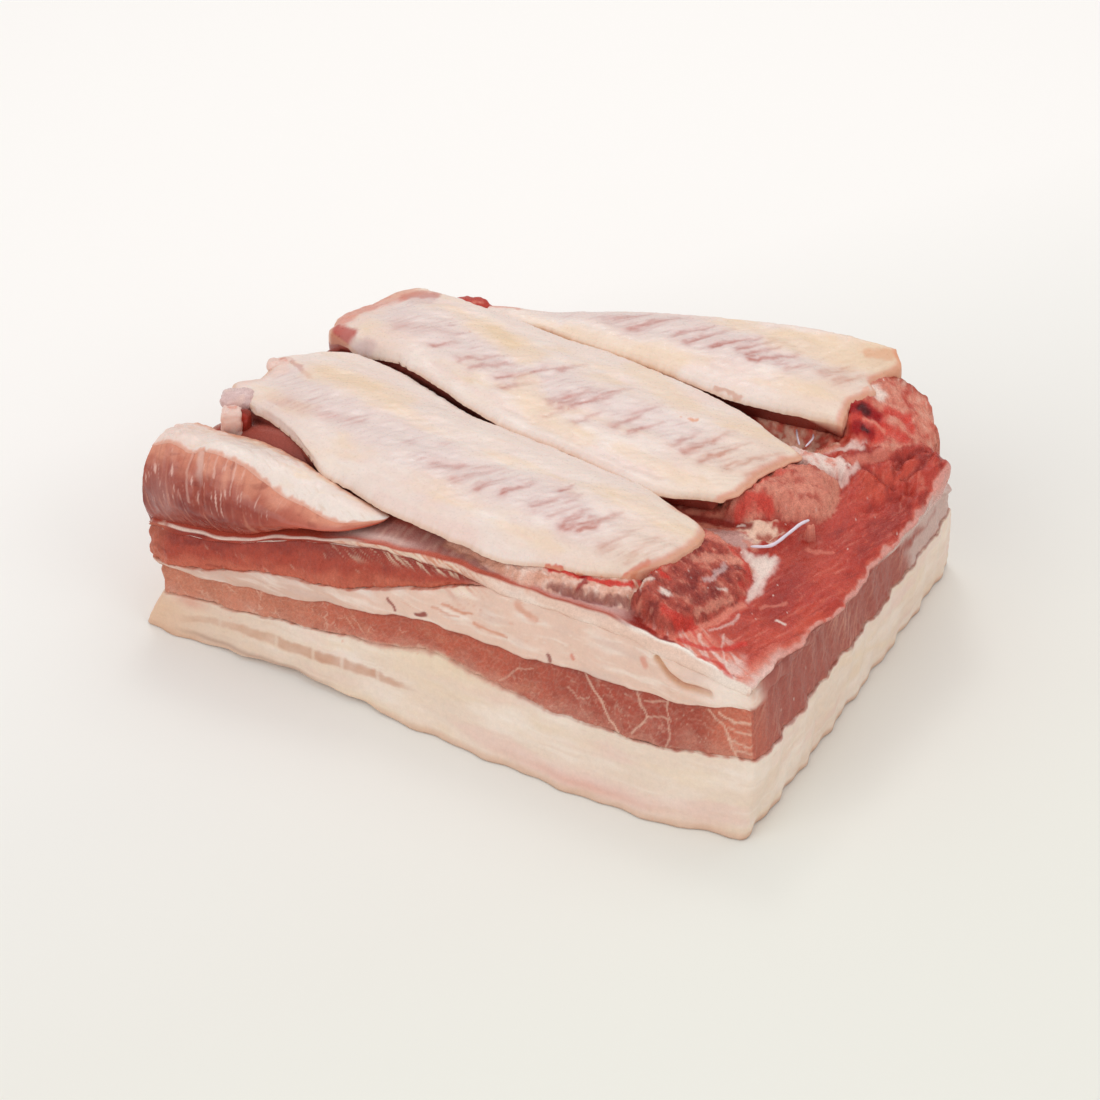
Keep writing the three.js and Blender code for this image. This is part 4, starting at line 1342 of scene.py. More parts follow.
    @staticmethod
    def _front_slope(coat: Coat, x: Array, y: Array, edge: Array) -> None:
        """The slope under the first rib's lip: pale at the cut, an orange line, then brown to greyish purple."""
        seam = layered(x / 7, edge / 3, 5.0)
        upright = layered(x / 1.4, edge / 9, 15.0, octaves=2)
        span = between(x, -54, 54, 4)
        slope = span * step(edge + 0.6 * seam, 0.0, 1.2)
        coat.lay(Tone.SKIRT_DARK, 0.9 * span * fade(edge, 12, 18))
        coat.lay(Tone.PURPLE, 0.8 * slope * fade(edge + 1.5 * seam, 7, 13))
        coat.lay(Tone.PURPLE_PALE, 0.8 * step(x, 4, 24) * slope * fade(edge + 1.2 * seam, 5, 8))
        coat.lay(Tone.PURPLE_PALE, 0.5 * bell(x + 2 * edge, -26, 9) * slope)
        coat.lay(Tone.SKIRT_DARK, 0.4 * slope * step(upright, 0.1, 0.8) * fade(x, 0, 14))
        coat.lay(Tone.SKIRT_PALE, 0.3 * slope, -upright, 0.1, 0.8)
        glow = bell(edge + 0.6 * seam, 0.9, 0.9) * between(x, -38, 60, 6)
        coat.lay(Tone.FLAP_FOOT, 0.8 * glow * (1 - 0.5 * step(x, 14, 34)))
        coat.lay(Tone.CREAM_PINK, 0.5 * between(x, -36, -14, 6) * bell(edge, 3.0, 1.6))
        left = fade(x + 2 * seam, -44, -32)
        coat.lay(Tone.UPPER, left * fade(edge, 6, 9))
        coat.lay(Tone.SEAM, 0.9 * fade(x, -36, -26) * fade(edge + 0.2 * seam, 0.4, 0.9))
        coat.lay(Tone.FAT_WHITE, step(x, 50, 62) * fade(edge + 0.9 * seam, 0.4, 1.6))

    def _shelf(self, coat: Coat, x: Array, y: Array, edge: Array, rim: Array) -> None:
        """The cut shelf: wet red meat with fibres along its length, a fan of pale streaks, sinew, a pale rim and
        painted glints.
        """
        fan_gap = line_distance(x, y, self.FAN)
        worn_front = 1.6 - 0.9 * step(x, 62, 74)
        behind = step(edge + 1.2 * layered(x / 4, y / 4, 12.0), worn_front, 2.2 * worn_front)
        on_shelf = step(x + 3 * noise(x / 8, y / 8), 56, 63) * np.maximum(behind, step(x, 90, 95)) * (edge >= 0)
        tone = layered(x / 13, y / 26, 1.0)
        fibre = layered((x - 0.35 * y) / 1.3, (y + 0.35 * x) / 12, 6.0)
        red = Coat(x.shape, Tone.RED, 0.9)
        red.lay(Tone.RED_DARK, 0.6, tone, 0.0, 0.8)
        red.lay(Tone.RED_ORANGE, 0.55, -tone, 0.0, 0.8)
        red.lay(Tone.RED_ORANGE, 0.4 * fade(y, -60, -20))
        red.lay(Tone.RED_PALE, 0.45, fibre, 0.2, 1.0)
        red.lay(Tone.RED_DARK, 0.55, -fibre, 0.2, 1.0)
        wisps = layered((x - 0.3 * y) / 0.7, (y + 0.3 * x) / 4, 26.0, octaves=2)
        red.lay(Tone.RED_ORANGE, 0.5, wisps, 0.2, 0.8)
        red.lay(Tone.RED_DARK, 0.5 * bell(x + 0.1 * y, 83, 5) * between(y, -34, 10, 8))
        folds = layered((x + 0.5 * y) / 3.2, (y - 0.5 * x) / 9, 9.0)
        red.lay(Tone.RED_DARK, 0.6 * step(y, 22, 36), folds, 0.0, 0.7)
        red.lay(Tone.RED_PALE, 0.4 * step(y, 22, 36), -folds, 0.3, 0.9)
        coat.lay(red.colour, on_shelf).moisten(0.9, on_shelf).roughen(0.45 * on_shelf)

        angle, reach = np.arctan2(y + 44, x - 60), np.hypot(x - 60, y + 44)
        rays = layered(angle * 11, reach / 16, 4.0, octaves=2)
        fan = on_shelf * fade(fan_gap + 3.0 * noise(x / 5, y / 5), 4.0, 11)
        coat.lay(Tone.RED_PALE, 0.8 * fan)
        coat.lay(Tone.CREAM_PINK, 0.75 * fan, rays + 0.4 * step(x, 78, 90), 0.1, 0.6)
        coat.lay(Tone.RED_BRIGHT, 0.6 * fan, -rays, 0.1, 0.6)
        coat.lay(Tone.RED_BRIGHT, 0.6 * bell(np.hypot(x - 65, y + 56), 0, 3.5), rays, -0.3, 0.3)
        coat.lay(Tone.RED_BRIGHT, 0.5 * bell(np.hypot(x - 92, y + 68), 0, 2.2))

        coat.draw((*self.FISSURES, *self.PALE_MARKS), *wobbled(x, y, 0.7, 4))
        patch = inside_depth(x, y, self.SINEW_PATCH) + 0.9 * layered(x / 1.6, y / 5, 4.0)
        coat.lay(Tone.CREAM_PINK, 0.9, patch, -1.4, 0.4).lay(Tone.SINEW, 0.8, patch, 0.2, 1.6)
        worn = rim + 1.3 * layered(x / 5, y / 6, 2.0)
        reach_in = mix(3.4, 0.7, step(y, -56, -24))
        pale = mix(0.8, 0.35, step(y, -58, -40))
        coat.lay(Tone.RED_PALE, pale * fade(worn, reach_in * 0.5, reach_in * 1.6))
        coat.lay(Tone.CREAM_PINK, pale * fade(worn, 0, reach_in * 0.8))
        # painted glints: pale and white specks for the light on the wet meat
        sheen_speck = noise(x / 0.8, y / 0.8, 41.0)
        coat.lay(Tone.RED_PALE, 0.4 * on_shelf, sheen_speck, 0.62, 0.88)
        coat.lay(Tone.FAT_WHITE, 0.7 * on_shelf, noise(x / 0.7, y / 0.7, 64.0), 0.8, 0.92)

    def _holes(self, coat: Coat, x: Array, y: Array) -> None:
        """The hollows between the ribs, dark where the ribs shade them and pale at their floor."""
        lumps = layered(x / 2.5, y / 2.5, 3.0)
        near = np.hypot((x - 57) / 14, (y + 3 + 0.2 * (x - 57)) / 9)
        coat.lay(Tone.STAIN, 0.95 * fade(near + 0.3 * lumps, 0.8, 1.2))
        coat.lay(Tone.RED, 0.6 * fade(near, 0.5, 1.0), lumps, 0.0, 0.4)
        floor = np.hypot((x - 64) / 9, (y + 9) / 4.5)
        coat.lay(Tone.PURPLE_PALE, 0.95 * fade(floor + 0.25 * lumps, 0.6, 1.1))
        white = np.hypot((x - 70) / 6, (y + 3) / 6)
        coat.lay(Tone.CARTILAGE, 0.9 * fade(white + 0.5 * lumps, 0.6, 1.1))
        coat.draw(self.HOLE_MARKS, x + 0.8 * lumps, y)
        far = np.hypot((x - 58) / 14, (y - 45) / 8)
        coat.lay(Tone.STAIN, fade(far + 0.3 * lumps, 0.8, 1.2))
        coat.lay(Tone.RED_BRIGHT, 0.5 * step(lumps, 0.0, 0.5) * fade(far, 0.8, 1.2))
        coat.lay(Tone.CARTILAGE, 0.8 * fade(far + 0.9 * lumps, 0.1, 0.7))
        coat.lay(Tone.RED_DARK, 0.6 * bell(np.hypot((x - 66) / 5, (y - 48) / 3), 0, 1))


@dataclass(frozen=True)
class RibBed:
    """The meat that the ribs lie in, as a row of slices across the slab that stand side by side along it.

    A dip or a hump is its x and y, its reach along both, and its depth or height, all in mm.
    """

    slices: int = 292
    end_slices: int = 6
    top_columns: int = 286
    under_columns: int = 20
    wall_columns: int = 6
    bulge: float = 0.4
    end_bulge: float = 0.8

    RAGGED = staticmethod(profile(0.2, -0.8, -0.6, 0.2, -1.2, 0.2, 0.4, -1.0, -1.4, -0.8, 0.3, -0.4, 0.3, 0.4, 0.0))
    DIPS = (
        (54, -5, 11, 6, 2.8),
        (57, 44, 12, 6, 3.4),
        (83, -28, 9, 16, 0.8),
        (71.5, -3.5, 1.8, 1.5, 1.4),
        (96, 34, 5, 7, 1.0),
    )
    SLIT = marks((Tone.FLAP_FOOT, 4.0, 0.8, -70, 11, -54, 6.5, -36, 1.5, -18, -2, 0, -4.5, 30, -8, 46, -9))
    HUMPS = (
        (72.5, 2.4, 2.4, 2.0, 2.8),
        (76.4, -2.5, 1.8, 2.8, 2.6),
        (73.2, -8.5, 3.2, 1.6, 1.8),
        (67.5, -0.5, 2.2, 2.8, 1.8),
        (90, 50, 20, 20, 4.6),
        (101, 58, 9, 12, 3.4),
        (75, 41, 9, 6, 2.6),
        (-74, -31, 18, 8, 4.0),
        (92, -6, 6, 20, 1.0),
        (20, -60, 46, 2.2, 0.5),
    )

    def build(self) -> bpy.types.Object:
        """Stacks the slices.

        Each slice runs over the top from front to back, down the back, under the bed along the level below it,
        and up the front. Along the slab the slices crowd towards the right, where the shelf shows, at the share
        1.55 e - 0.55 e^2 for e from 0 to 1. Past both ends a few more slices round the edge off.

        Returns:
            The finished piece.
        """
        even = np.linspace(0, 1, self.slices)
        u = (-1 + 2 * (1.55 * even - 0.55 * even**2))[:, None]
        v_top = self._crowded(np.linspace(-1, 1, self.top_columns))[None]
        u, v_top = np.broadcast_arrays(u, v_top)
        top = self._top(u, v_top)
        v_under = np.broadcast_to(np.linspace(1, -1, self.under_columns), (self.slices, self.under_columns))
        u_under = np.broadcast_to(u[:, :1], v_under.shape)
        under = FORM.point(Level.STREAK_TOP, u_under, v_under)
        over_edge = np.interp(v_under[0], v_top[0], top[-1, :, 0])
        under[..., 0] += step(u_under, 0.8, 1) * (over_edge - under[-1, :, 0] - 0.6)
        back = self._wall(top[:, -1], under[:, 0], 1)
        side = self._front_paint(u[:, 0])
        front = self._wall(under[:, -1] - np.array([0.0, 0.0, 1.0]), top[:, 0], -1)
        front[..., 1] -= self._front_relief(side, front)
        loops = np.concatenate([top, back, under, front], axis=1)
        edge = np.zeros(loops.shape[:2])
        edge[:, : self.top_columns] = np.abs(top[..., 1] - top[:, :1, 1])
        rim = np.abs(loops[-1:, :, 0] - loops[..., 0])
        seam = self._seam(v_top[0])
        loops = seam.capped(loops, self.end_slices, self.end_bulge)
        spread = np.clip(np.arange(len(loops)) - self.end_slices, 0, self.slices - 1)
        x, y, z = np.moveaxis(loops, -1, 0)
        coat = BedPaint().coat(x, y, z, edge[spread], rim[spread])
        coat.draw(self.SLIT, x, y)
        self._paint_front(coat, side, front, spread)
        back_v = np.ones(self.wall_columns)
        self._paint_right(coat, loops, np.concatenate([v_top[0], back_v, v_under[0], -back_v]))
        return loft("rib_bed", loops, coat, Finishes.RED_MEAT, seam)

    @staticmethod
    def _front_paint(u: Array) -> SidePaint:
        """The slab's side paint along the front edge of the slices."""
        front = np.full_like(u, -1.0)
        way = (u + 1 - Rim.corner) * Rim.HALF_SIDES[0]
        return SidePaint(u, front, np.stack([np.zeros_like(u), front], axis=-1), way)

    @staticmethod
    def _front_relief(side: SidePaint, wall: Array) -> Array:
        """How far the front wall stands out: as the layer below does at its foot, which dips in, and 0 at its top."""
        z = wall[..., 2].T
        streak, fat = side.relief(Level.STREAK_BOTTOM, z), side.relief(Level.LOWER_LEAN_TOP, z)
        share = np.linspace(0, 1, wall.shape[1])
        return (mix(streak, fat, step(side.x, 2, 14)).T + 0.1) * (1 - share**2) - 0.5 * (share == 0)

    def _paint_front(self, coat: Coat, side: SidePaint, wall: Array, spread: Array) -> None:
        """Carries the side's tissue on up the front wall, with the upper muscle as far as the edge at the left."""
        z = wall[..., 2].T
        over = np.maximum(z - side.levels[Level.STREAK_TOP] + 1.8, 0) * fade(side.x, -46, -34)
        skin = side.coat(z - over)
        for kept, laid in ((coat.colour, skin.colour), (coat.wet, skin.wet), (coat.crumb, skin.crumb)):
            kept[:, -self.wall_columns :] = np.swapaxes(laid, 0, 1)[spread]

    def _paint_right(self, coat: Coat, loops: Array, v: Array) -> None:
        """Lays the right side's tissue on the end of the bed, from just under its upper edge down."""
        rows = slice(len(loops) - self.end_slices - 1, None)
        z = loops[rows, :, 2]
        right = np.ones_like(v)
        along, across = Rim.HALF_SIDES
        way = 2 * along * (1 - Rim.corner) + (v + 1) * across
        side = SidePaint(right, v, np.stack([right, 0 * v], axis=-1), way)
        order = np.argsort(loops[rows.start, : self.top_columns, 1])
        rim = loops[rows.start, : self.top_columns][order]
        below = np.interp(loops[rows, :, 1], rim[:, 1], rim[:, 2]) - z + 0.3 * noise(side.way / 3, z / 3)
        cover = step(below, 0.3, 1.1) * fade(loops[rows, :, 1], 38, 50)
        skin = side.coat(z)
        coat.colour[rows] = mix(coat.colour[rows], skin.colour, cover[..., None])
        coat.crumb[rows] *= 1 - cover

    def _seam(self, v_top: Array) -> Seam:
        """The columns above and below the middle of the two walls."""
        top, wall, under = self.top_columns, self.wall_columns, self.under_columns
        front_wall = top + wall + under + np.arange(wall)
        back_wall = top + np.arange(wall)
        half = wall // 2
        upper = np.concatenate([front_wall[half:], np.arange(top), back_wall[:half]])
        lower = np.concatenate([front_wall[:half][::-1], top + wall + np.arange(under)[::-1], back_wall[half:][::-1]])
        past = 1 + 0.01 * np.arange(1, half + 1)
        upper_at = np.concatenate([-past[::-1], v_top, past])
        lower_at = np.concatenate([-past[::-1], np.linspace(-1, 1, under), past])
        return Seam(upper, lower, upper_at, lower_at)

    @staticmethod
    def _crowded(even: Array) -> Array:
        """Places from front to back, closer together at the front edge: e - 0.16 (1 - e^2), e from -1 to 1."""
        return even - 0.16 * (1 - even**2)

    def _top(self, u: Array, v: Array) -> Array:
        """The bed's upper face: its plain level, with hollows, swells, fibres and a ragged right edge."""
        top = FORM.point(Level.BED, u, v)
        x, y = top[..., 0], top[..., 1]
        lift = np.zeros(x.shape)
        for sign, places in ((-1, self.DIPS), (1, self.HUMPS)):
            for cx, cy, rx, ry, height in places:
                lift += sign * height * np.exp(-(((x - cx) / rx) ** 2) - ((y - cy) / ry) ** 2)
        inside = step(v, -1, -0.9) * fade(v, 0.93, 1)
        meat = 0.7 * layered(x / 14, y / 17, 3.0) + 0.3 * layered(x / 3.6, y / 8, 7.0)
        fine = 0.2 * layered(x / 1.2, y / 2.8, 4.0, octaves=2)
        fine = fine + 0.2 * layered((x - 0.35 * y) / 1.8, (y + 0.35 * x) / 7, 36.0) * step(x, 62, 72)
        crags = 1.1 * layered((x + 0.5 * y) / 4.2, (y - 0.5 * x) / 9, 9.0) * step(y, 20, 36)
        lift += (meat + fine - crags) * inside * (0.35 + 0.65 * step(x, 30, 55))
        for mark in BedPaint.FISSURES:
            lift -= 1.2 * bell(line_distance(x, y, mark.line), 0, 1.1)
        lift -= 1.0 * step(u, 0.975, 1.0)
        top[..., 2] += lift
        for mass in MASSES:
            top[..., 2] = mass.raised(x, y, top[..., 2])
        share = (v + 1) / 2
        top[..., 0] += (self.RAGGED(share) + 0.5 * layered(y / 3.0, y / 11)) * step(u, 0.82, 1.0)
        return top

    def _wall(self, start: Array, end: Array, outward: int) -> Array:
        """Columns between two edges of the slice, bulging out as 4 h (1 - h)."""
        h = np.linspace(0, 1, self.wall_columns + 2)[1:-1][None, :, None]
        wall = mix(start[:, None], end[:, None], h)
        wall[..., 1] += outward * self.bulge * 4 * (h * (1 - h))[..., 0]
        return wall


# ---- ribs -----------------------------------------------------------------------------------------------------------
@dataclass(frozen=True)
class Stroke:
    """A streak of meat that shows through the membrane: dark at its start and faded at its end, in mm."""

    start: tuple[float, float]
    end: tuple[float, float]
    dark: float = 0.8
    width: float = 1.2

    LONGER = 1.25

    def cover(self, x: Array, y: Array, widened: float = 1.0) -> Array:
        """How much the streak covers: exp(-d^2) across it, times (1 - w)^0.5 at the share w of its length."""
        dx, dy = self.LONGER * (self.end[0] - self.start[0]), self.LONGER * (self.end[1] - self.start[1])
        share = ((x - self.start[0]) * dx + (y - self.start[1]) * dy) / (dx * dx + dy * dy)
        w = np.clip(share, 0, 1)
        gap = np.hypot(x - self.start[0] - w * dx, y - self.start[1] - w * dy)
        return self.dark * bell(gap / (self.width * widened * (1 - 0.4 * w)), 0, 1) * (1 - w) ** 0.5


def strokes(*rows: Sequence[float]) -> tuple[Stroke, ...]:
    """Strokes from rows of x and y at the start, x and y at the end, and darkness and width where they differ."""
    return tuple(Stroke(row[:2], row[2:4], *row[4:]) for row in rows)


@dataclass(frozen=True)
class RibShape:
    """A rib's membrane, as a row of slices across it from its left end to its right one.

    left and right hold the x of the ends from the front edge to the back one. The other profiles run from the left
    end to the right one: y of the front and back edges, the heights of the crest and of both edges, and how far
    each edge is a free lip. Sizes are in mm.
    """

    name: str
    left: Profile
    right: Profile
    front: Profile
    back: Profile
    crest: Profile
    front_edge: Profile
    back_edge: Profile
    front_lip: Profile
    back_lip: Profile
    end_lips: tuple[float, float]
    band: Line
    strokes: tuple[Stroke, ...]
    grooves: tuple[Mark, ...]
    marks: tuple[Mark, ...]
    seed: float


@dataclass(frozen=True)
class Rib:
    """Builds a rib under its membrane."""

    shape: RibShape
    slices: int = 400
    end_slices: int = 5
    top_columns: int = 130
    under_columns: int = 24
    front_power: float = 2.4
    back_power: float = 2.3
    thick: float = 1.2
    end_share: float = 0.03
    roll: float = 1.3

    def build(self) -> bpy.types.Object:
        """Makes the slices: over the top from front to back, then back underneath.

        Below, the slice sinks into the bed except at the thin lips that stand over a hollow at its edges and ends.
        Slices crowd at both ends, at the share e - 0.022 sin(2 pi e), and columns at both edges, at sin(0.93 a) for
        a from -pi / 2 to pi / 2, scaled to end at 1.

        Returns:
            The finished piece.
        """
        rib = self.shape
        even = np.linspace(0, 1, self.slices)
        t = (even - 0.022 * np.sin(2 * np.pi * even))[:, None]
        b = np.sin(np.linspace(-np.pi / 2, np.pi / 2, self.top_columns) * 0.93)
        b = (b / b[-1])[None]
        top = self._top(t, b)
        under_b = np.linspace(1, -1, self.under_columns + 2)[1:-1][None]
        under = self._top(t, under_b)
        lip = np.maximum(step(-under_b, 0.74, 0.9) * rib.front_lip(t), step(under_b, 0.74, 0.9) * rib.back_lip(t))
        near_end = fade(np.minimum(t, 1 - t), self.end_share, 1.6 * self.end_share)
        lip = np.maximum(lip, near_end * np.where(t < 0.5, *rib.end_lips))
        z = under[..., 2]
        floor = bed_height(under[..., 0], under[..., 1]) - 0.5
        under[..., 2] = np.minimum(mix(floor, z - self.thick, np.clip(lip, 0, 1)), z - 0.7)
        loops = np.concatenate([top, under], axis=1)
        lower = self.top_columns + np.arange(self.under_columns)[::-1]
        seam = Seam(np.arange(self.top_columns), lower, b[0], under_b[0, ::-1])
        loops = seam.capped(loops, self.end_slices, self.thick / 2)
        t_all = np.concatenate([np.zeros((self.end_slices, 1)), t, np.ones((self.end_slices, 1))])
        coat = self._coat(loops, t_all, np.concatenate([b, under_b], axis=1))
        return loft(rib.name, loops, coat, Finishes.MEMBRANE, seam)

    def _top(self, t: Array, b: Array) -> Array:
        """Points of the upper face, for b from -1 at the front edge to 1 at the back one.

        z is edge + (crest - edge) (1 - |b|^power), rolled down at the edges by roll w^2 at the share w of the way
        through the roll, with soft relief, less the depth of grooves and streaks.
        """
        rib = self.shape
        share = (b + 1) / 2
        x = mix(rib.left(share), rib.right(share), t)
        along = x + 0 * b
        wave = 0.4 * layered(along / 6, b * 0 + rib.seed, 1.0) + 0.25 * noise(along / 1.7, b * 0 + rib.seed)
        y = mix(rib.front(t), rib.back(t), share) + wave * step(np.abs(b), 0.75, 1.0)
        x = x + 0.5 * layered(y / 4, t * 0 + rib.seed, 5.0) * step(np.abs(2 * t - 1), 0.9, 1.0)
        edge = np.where(b < 0, rib.front_edge(t), rib.back_edge(t))
        power = np.where(b < 0, self.front_power, self.back_power)
        z = edge + (rib.crest(t) - edge) * (1 - np.abs(b) ** power)
        smooth = 1 - b**4
        z = z + 0.9 * layered(x / 26, y / 15, rib.seed) * smooth
        z = z - self.roll * np.clip((np.abs(b) - 0.9) / 0.1, 0, 1) ** 2
        z = z - self.roll * np.clip(1 - np.minimum(t, 1 - t) / 0.02, 0, 1) ** 2 * (1 - b**4)
        z = z + 0.14 * layered((x + y) / 9, (y - 0.6 * x) / 2.4, rib.seed + 4) * smooth
        for groove in rib.grooves:
            z = z - groove.cover * bell(line_distance(x, y, groove.line), 0, groove.width * 2)
        for stroke in rib.strokes:
            z = z - 0.22 * stroke.cover(x, y)
        return np.stack([x, y, z], axis=-1)

    def _coat(self, loops: Array, t: Array, b: Array) -> Coat:
        """Cream membrane: warm beside its band of streaks, bluish in it, with tan folds, thin tan edges and an
        underside painted dark as shade.
        """
        rib = self.shape
        x, y, z = np.moveaxis(loops, -1, 0)
        t, b = np.broadcast_to(t, x.shape), np.broadcast_to(b, x.shape)
        coat = Coat(x.shape, Tone.CREAM, 0.62)
        coat.lay(Tone.CREAM_WHITE, 0.6, layered(x / 20, y / 9, rib.seed + 1), -0.1, 0.8)
        coat.lay(Tone.CREAM_PINK, 0.6, layered(x / 26, y / 12, rib.seed + 2), -0.1, 0.8)
        middle = line_distance(x, y, rib.band)
        cloud = layered(x / 16, y / 8, rib.seed + 5)
        flank = bell(middle + 3 * cloud, 13, 5) * step(layered(x / 22, y / 9, rib.seed + 9), -0.35, 0.5)
        coat.lay(Tone.CREAM_WARM, 0.7 * flank)
        coat.lay(Tone.CREAM_GOLD, 0.4 * flank, layered(x / 9, y / 5, rib.seed + 19), 0.1, 0.8)
        coat.lay(Tone.CREAM_GREY, 0.6 * fade(middle + 4 * cloud, 3, 12))
        warp = 0.9 * layered(x / 4, y / 4, rib.seed)
        haze, dark = np.zeros(x.shape), np.zeros(x.shape)
        for stroke in rib.strokes:
            haze = np.maximum(haze, stroke.cover(x + warp, y - warp, 2.4))
            dark = np.maximum(dark, stroke.cover(x + warp, y - warp))
        p, q = 0.6 * x + 0.8 * y, 0.6 * y - 0.8 * x
        strands = layered(p / 9, q / 1.3, rib.seed)
        in_band = fade(middle + 2 * cloud, 4, 10)
        coat.lay(Tone.CREAM_LILAC, 0.75 * haze)
        coat.lay(Tone.CREAM_LILAC, 0.5 * in_band, strands, 0.0, 0.9)
        # whitish between the strands: paler membrane with painted highlights
        coat.lay(Tone.CREAM_WHITE, 0.35 * in_band, -strands, 0.2, 0.9)
        coat.lay(Tone.STREAK_PINK, np.clip(0.95 * dark * (1 + 0.7 * strands), 0, 0.85))
        coat.lay(Tone.STREAK_PINK, 0.25 * in_band, strands, 0.45, 1.1)
        veins = layered(x / 12, (y + 0.25 * x) / 1.5, rib.seed + 30)
        coat.lay(Tone.CREAM_WHITE, 0.3 * step(veins, 0.2, 0.9) * (1 - in_band))
        coat.lay(Tone.CREAM_PINK, 0.35 * step(-veins, 0.3, 1.0) * (1 - in_band))
        coat.lay(Tone.SPECK, 0.55, noise(x / 2.4, y / 1.6, rib.seed + 20), 0.88, 1.0)
        coat.draw((*rib.grooves, *rib.marks), *wobbled(x, y, 0.9, 4))
        coat.lay(Tone.CREAM_GOLD, 0.3, t, 0.78, 0.96)
        coat.lay(Tone.RED_PALE, 0.6, t + 0.004 * cloud, 0.982, 0.996)
        edge_line = np.maximum(step(np.abs(b), 0.955, 0.995), step(np.abs(2 * t - 1), 0.975, 0.998))
        coat.lay(Tone.FOLD, 0.45 * edge_line)
        # the underside, painted in the recess colour as the shade under the lips
        below = np.zeros(x.shape)
        below[:, self.top_columns :] = 1
        coat.lay(Tone.RECESS_MEAT_AND_SHADE, below * fade(np.abs(b), 0.985, 1.0))
        return coat


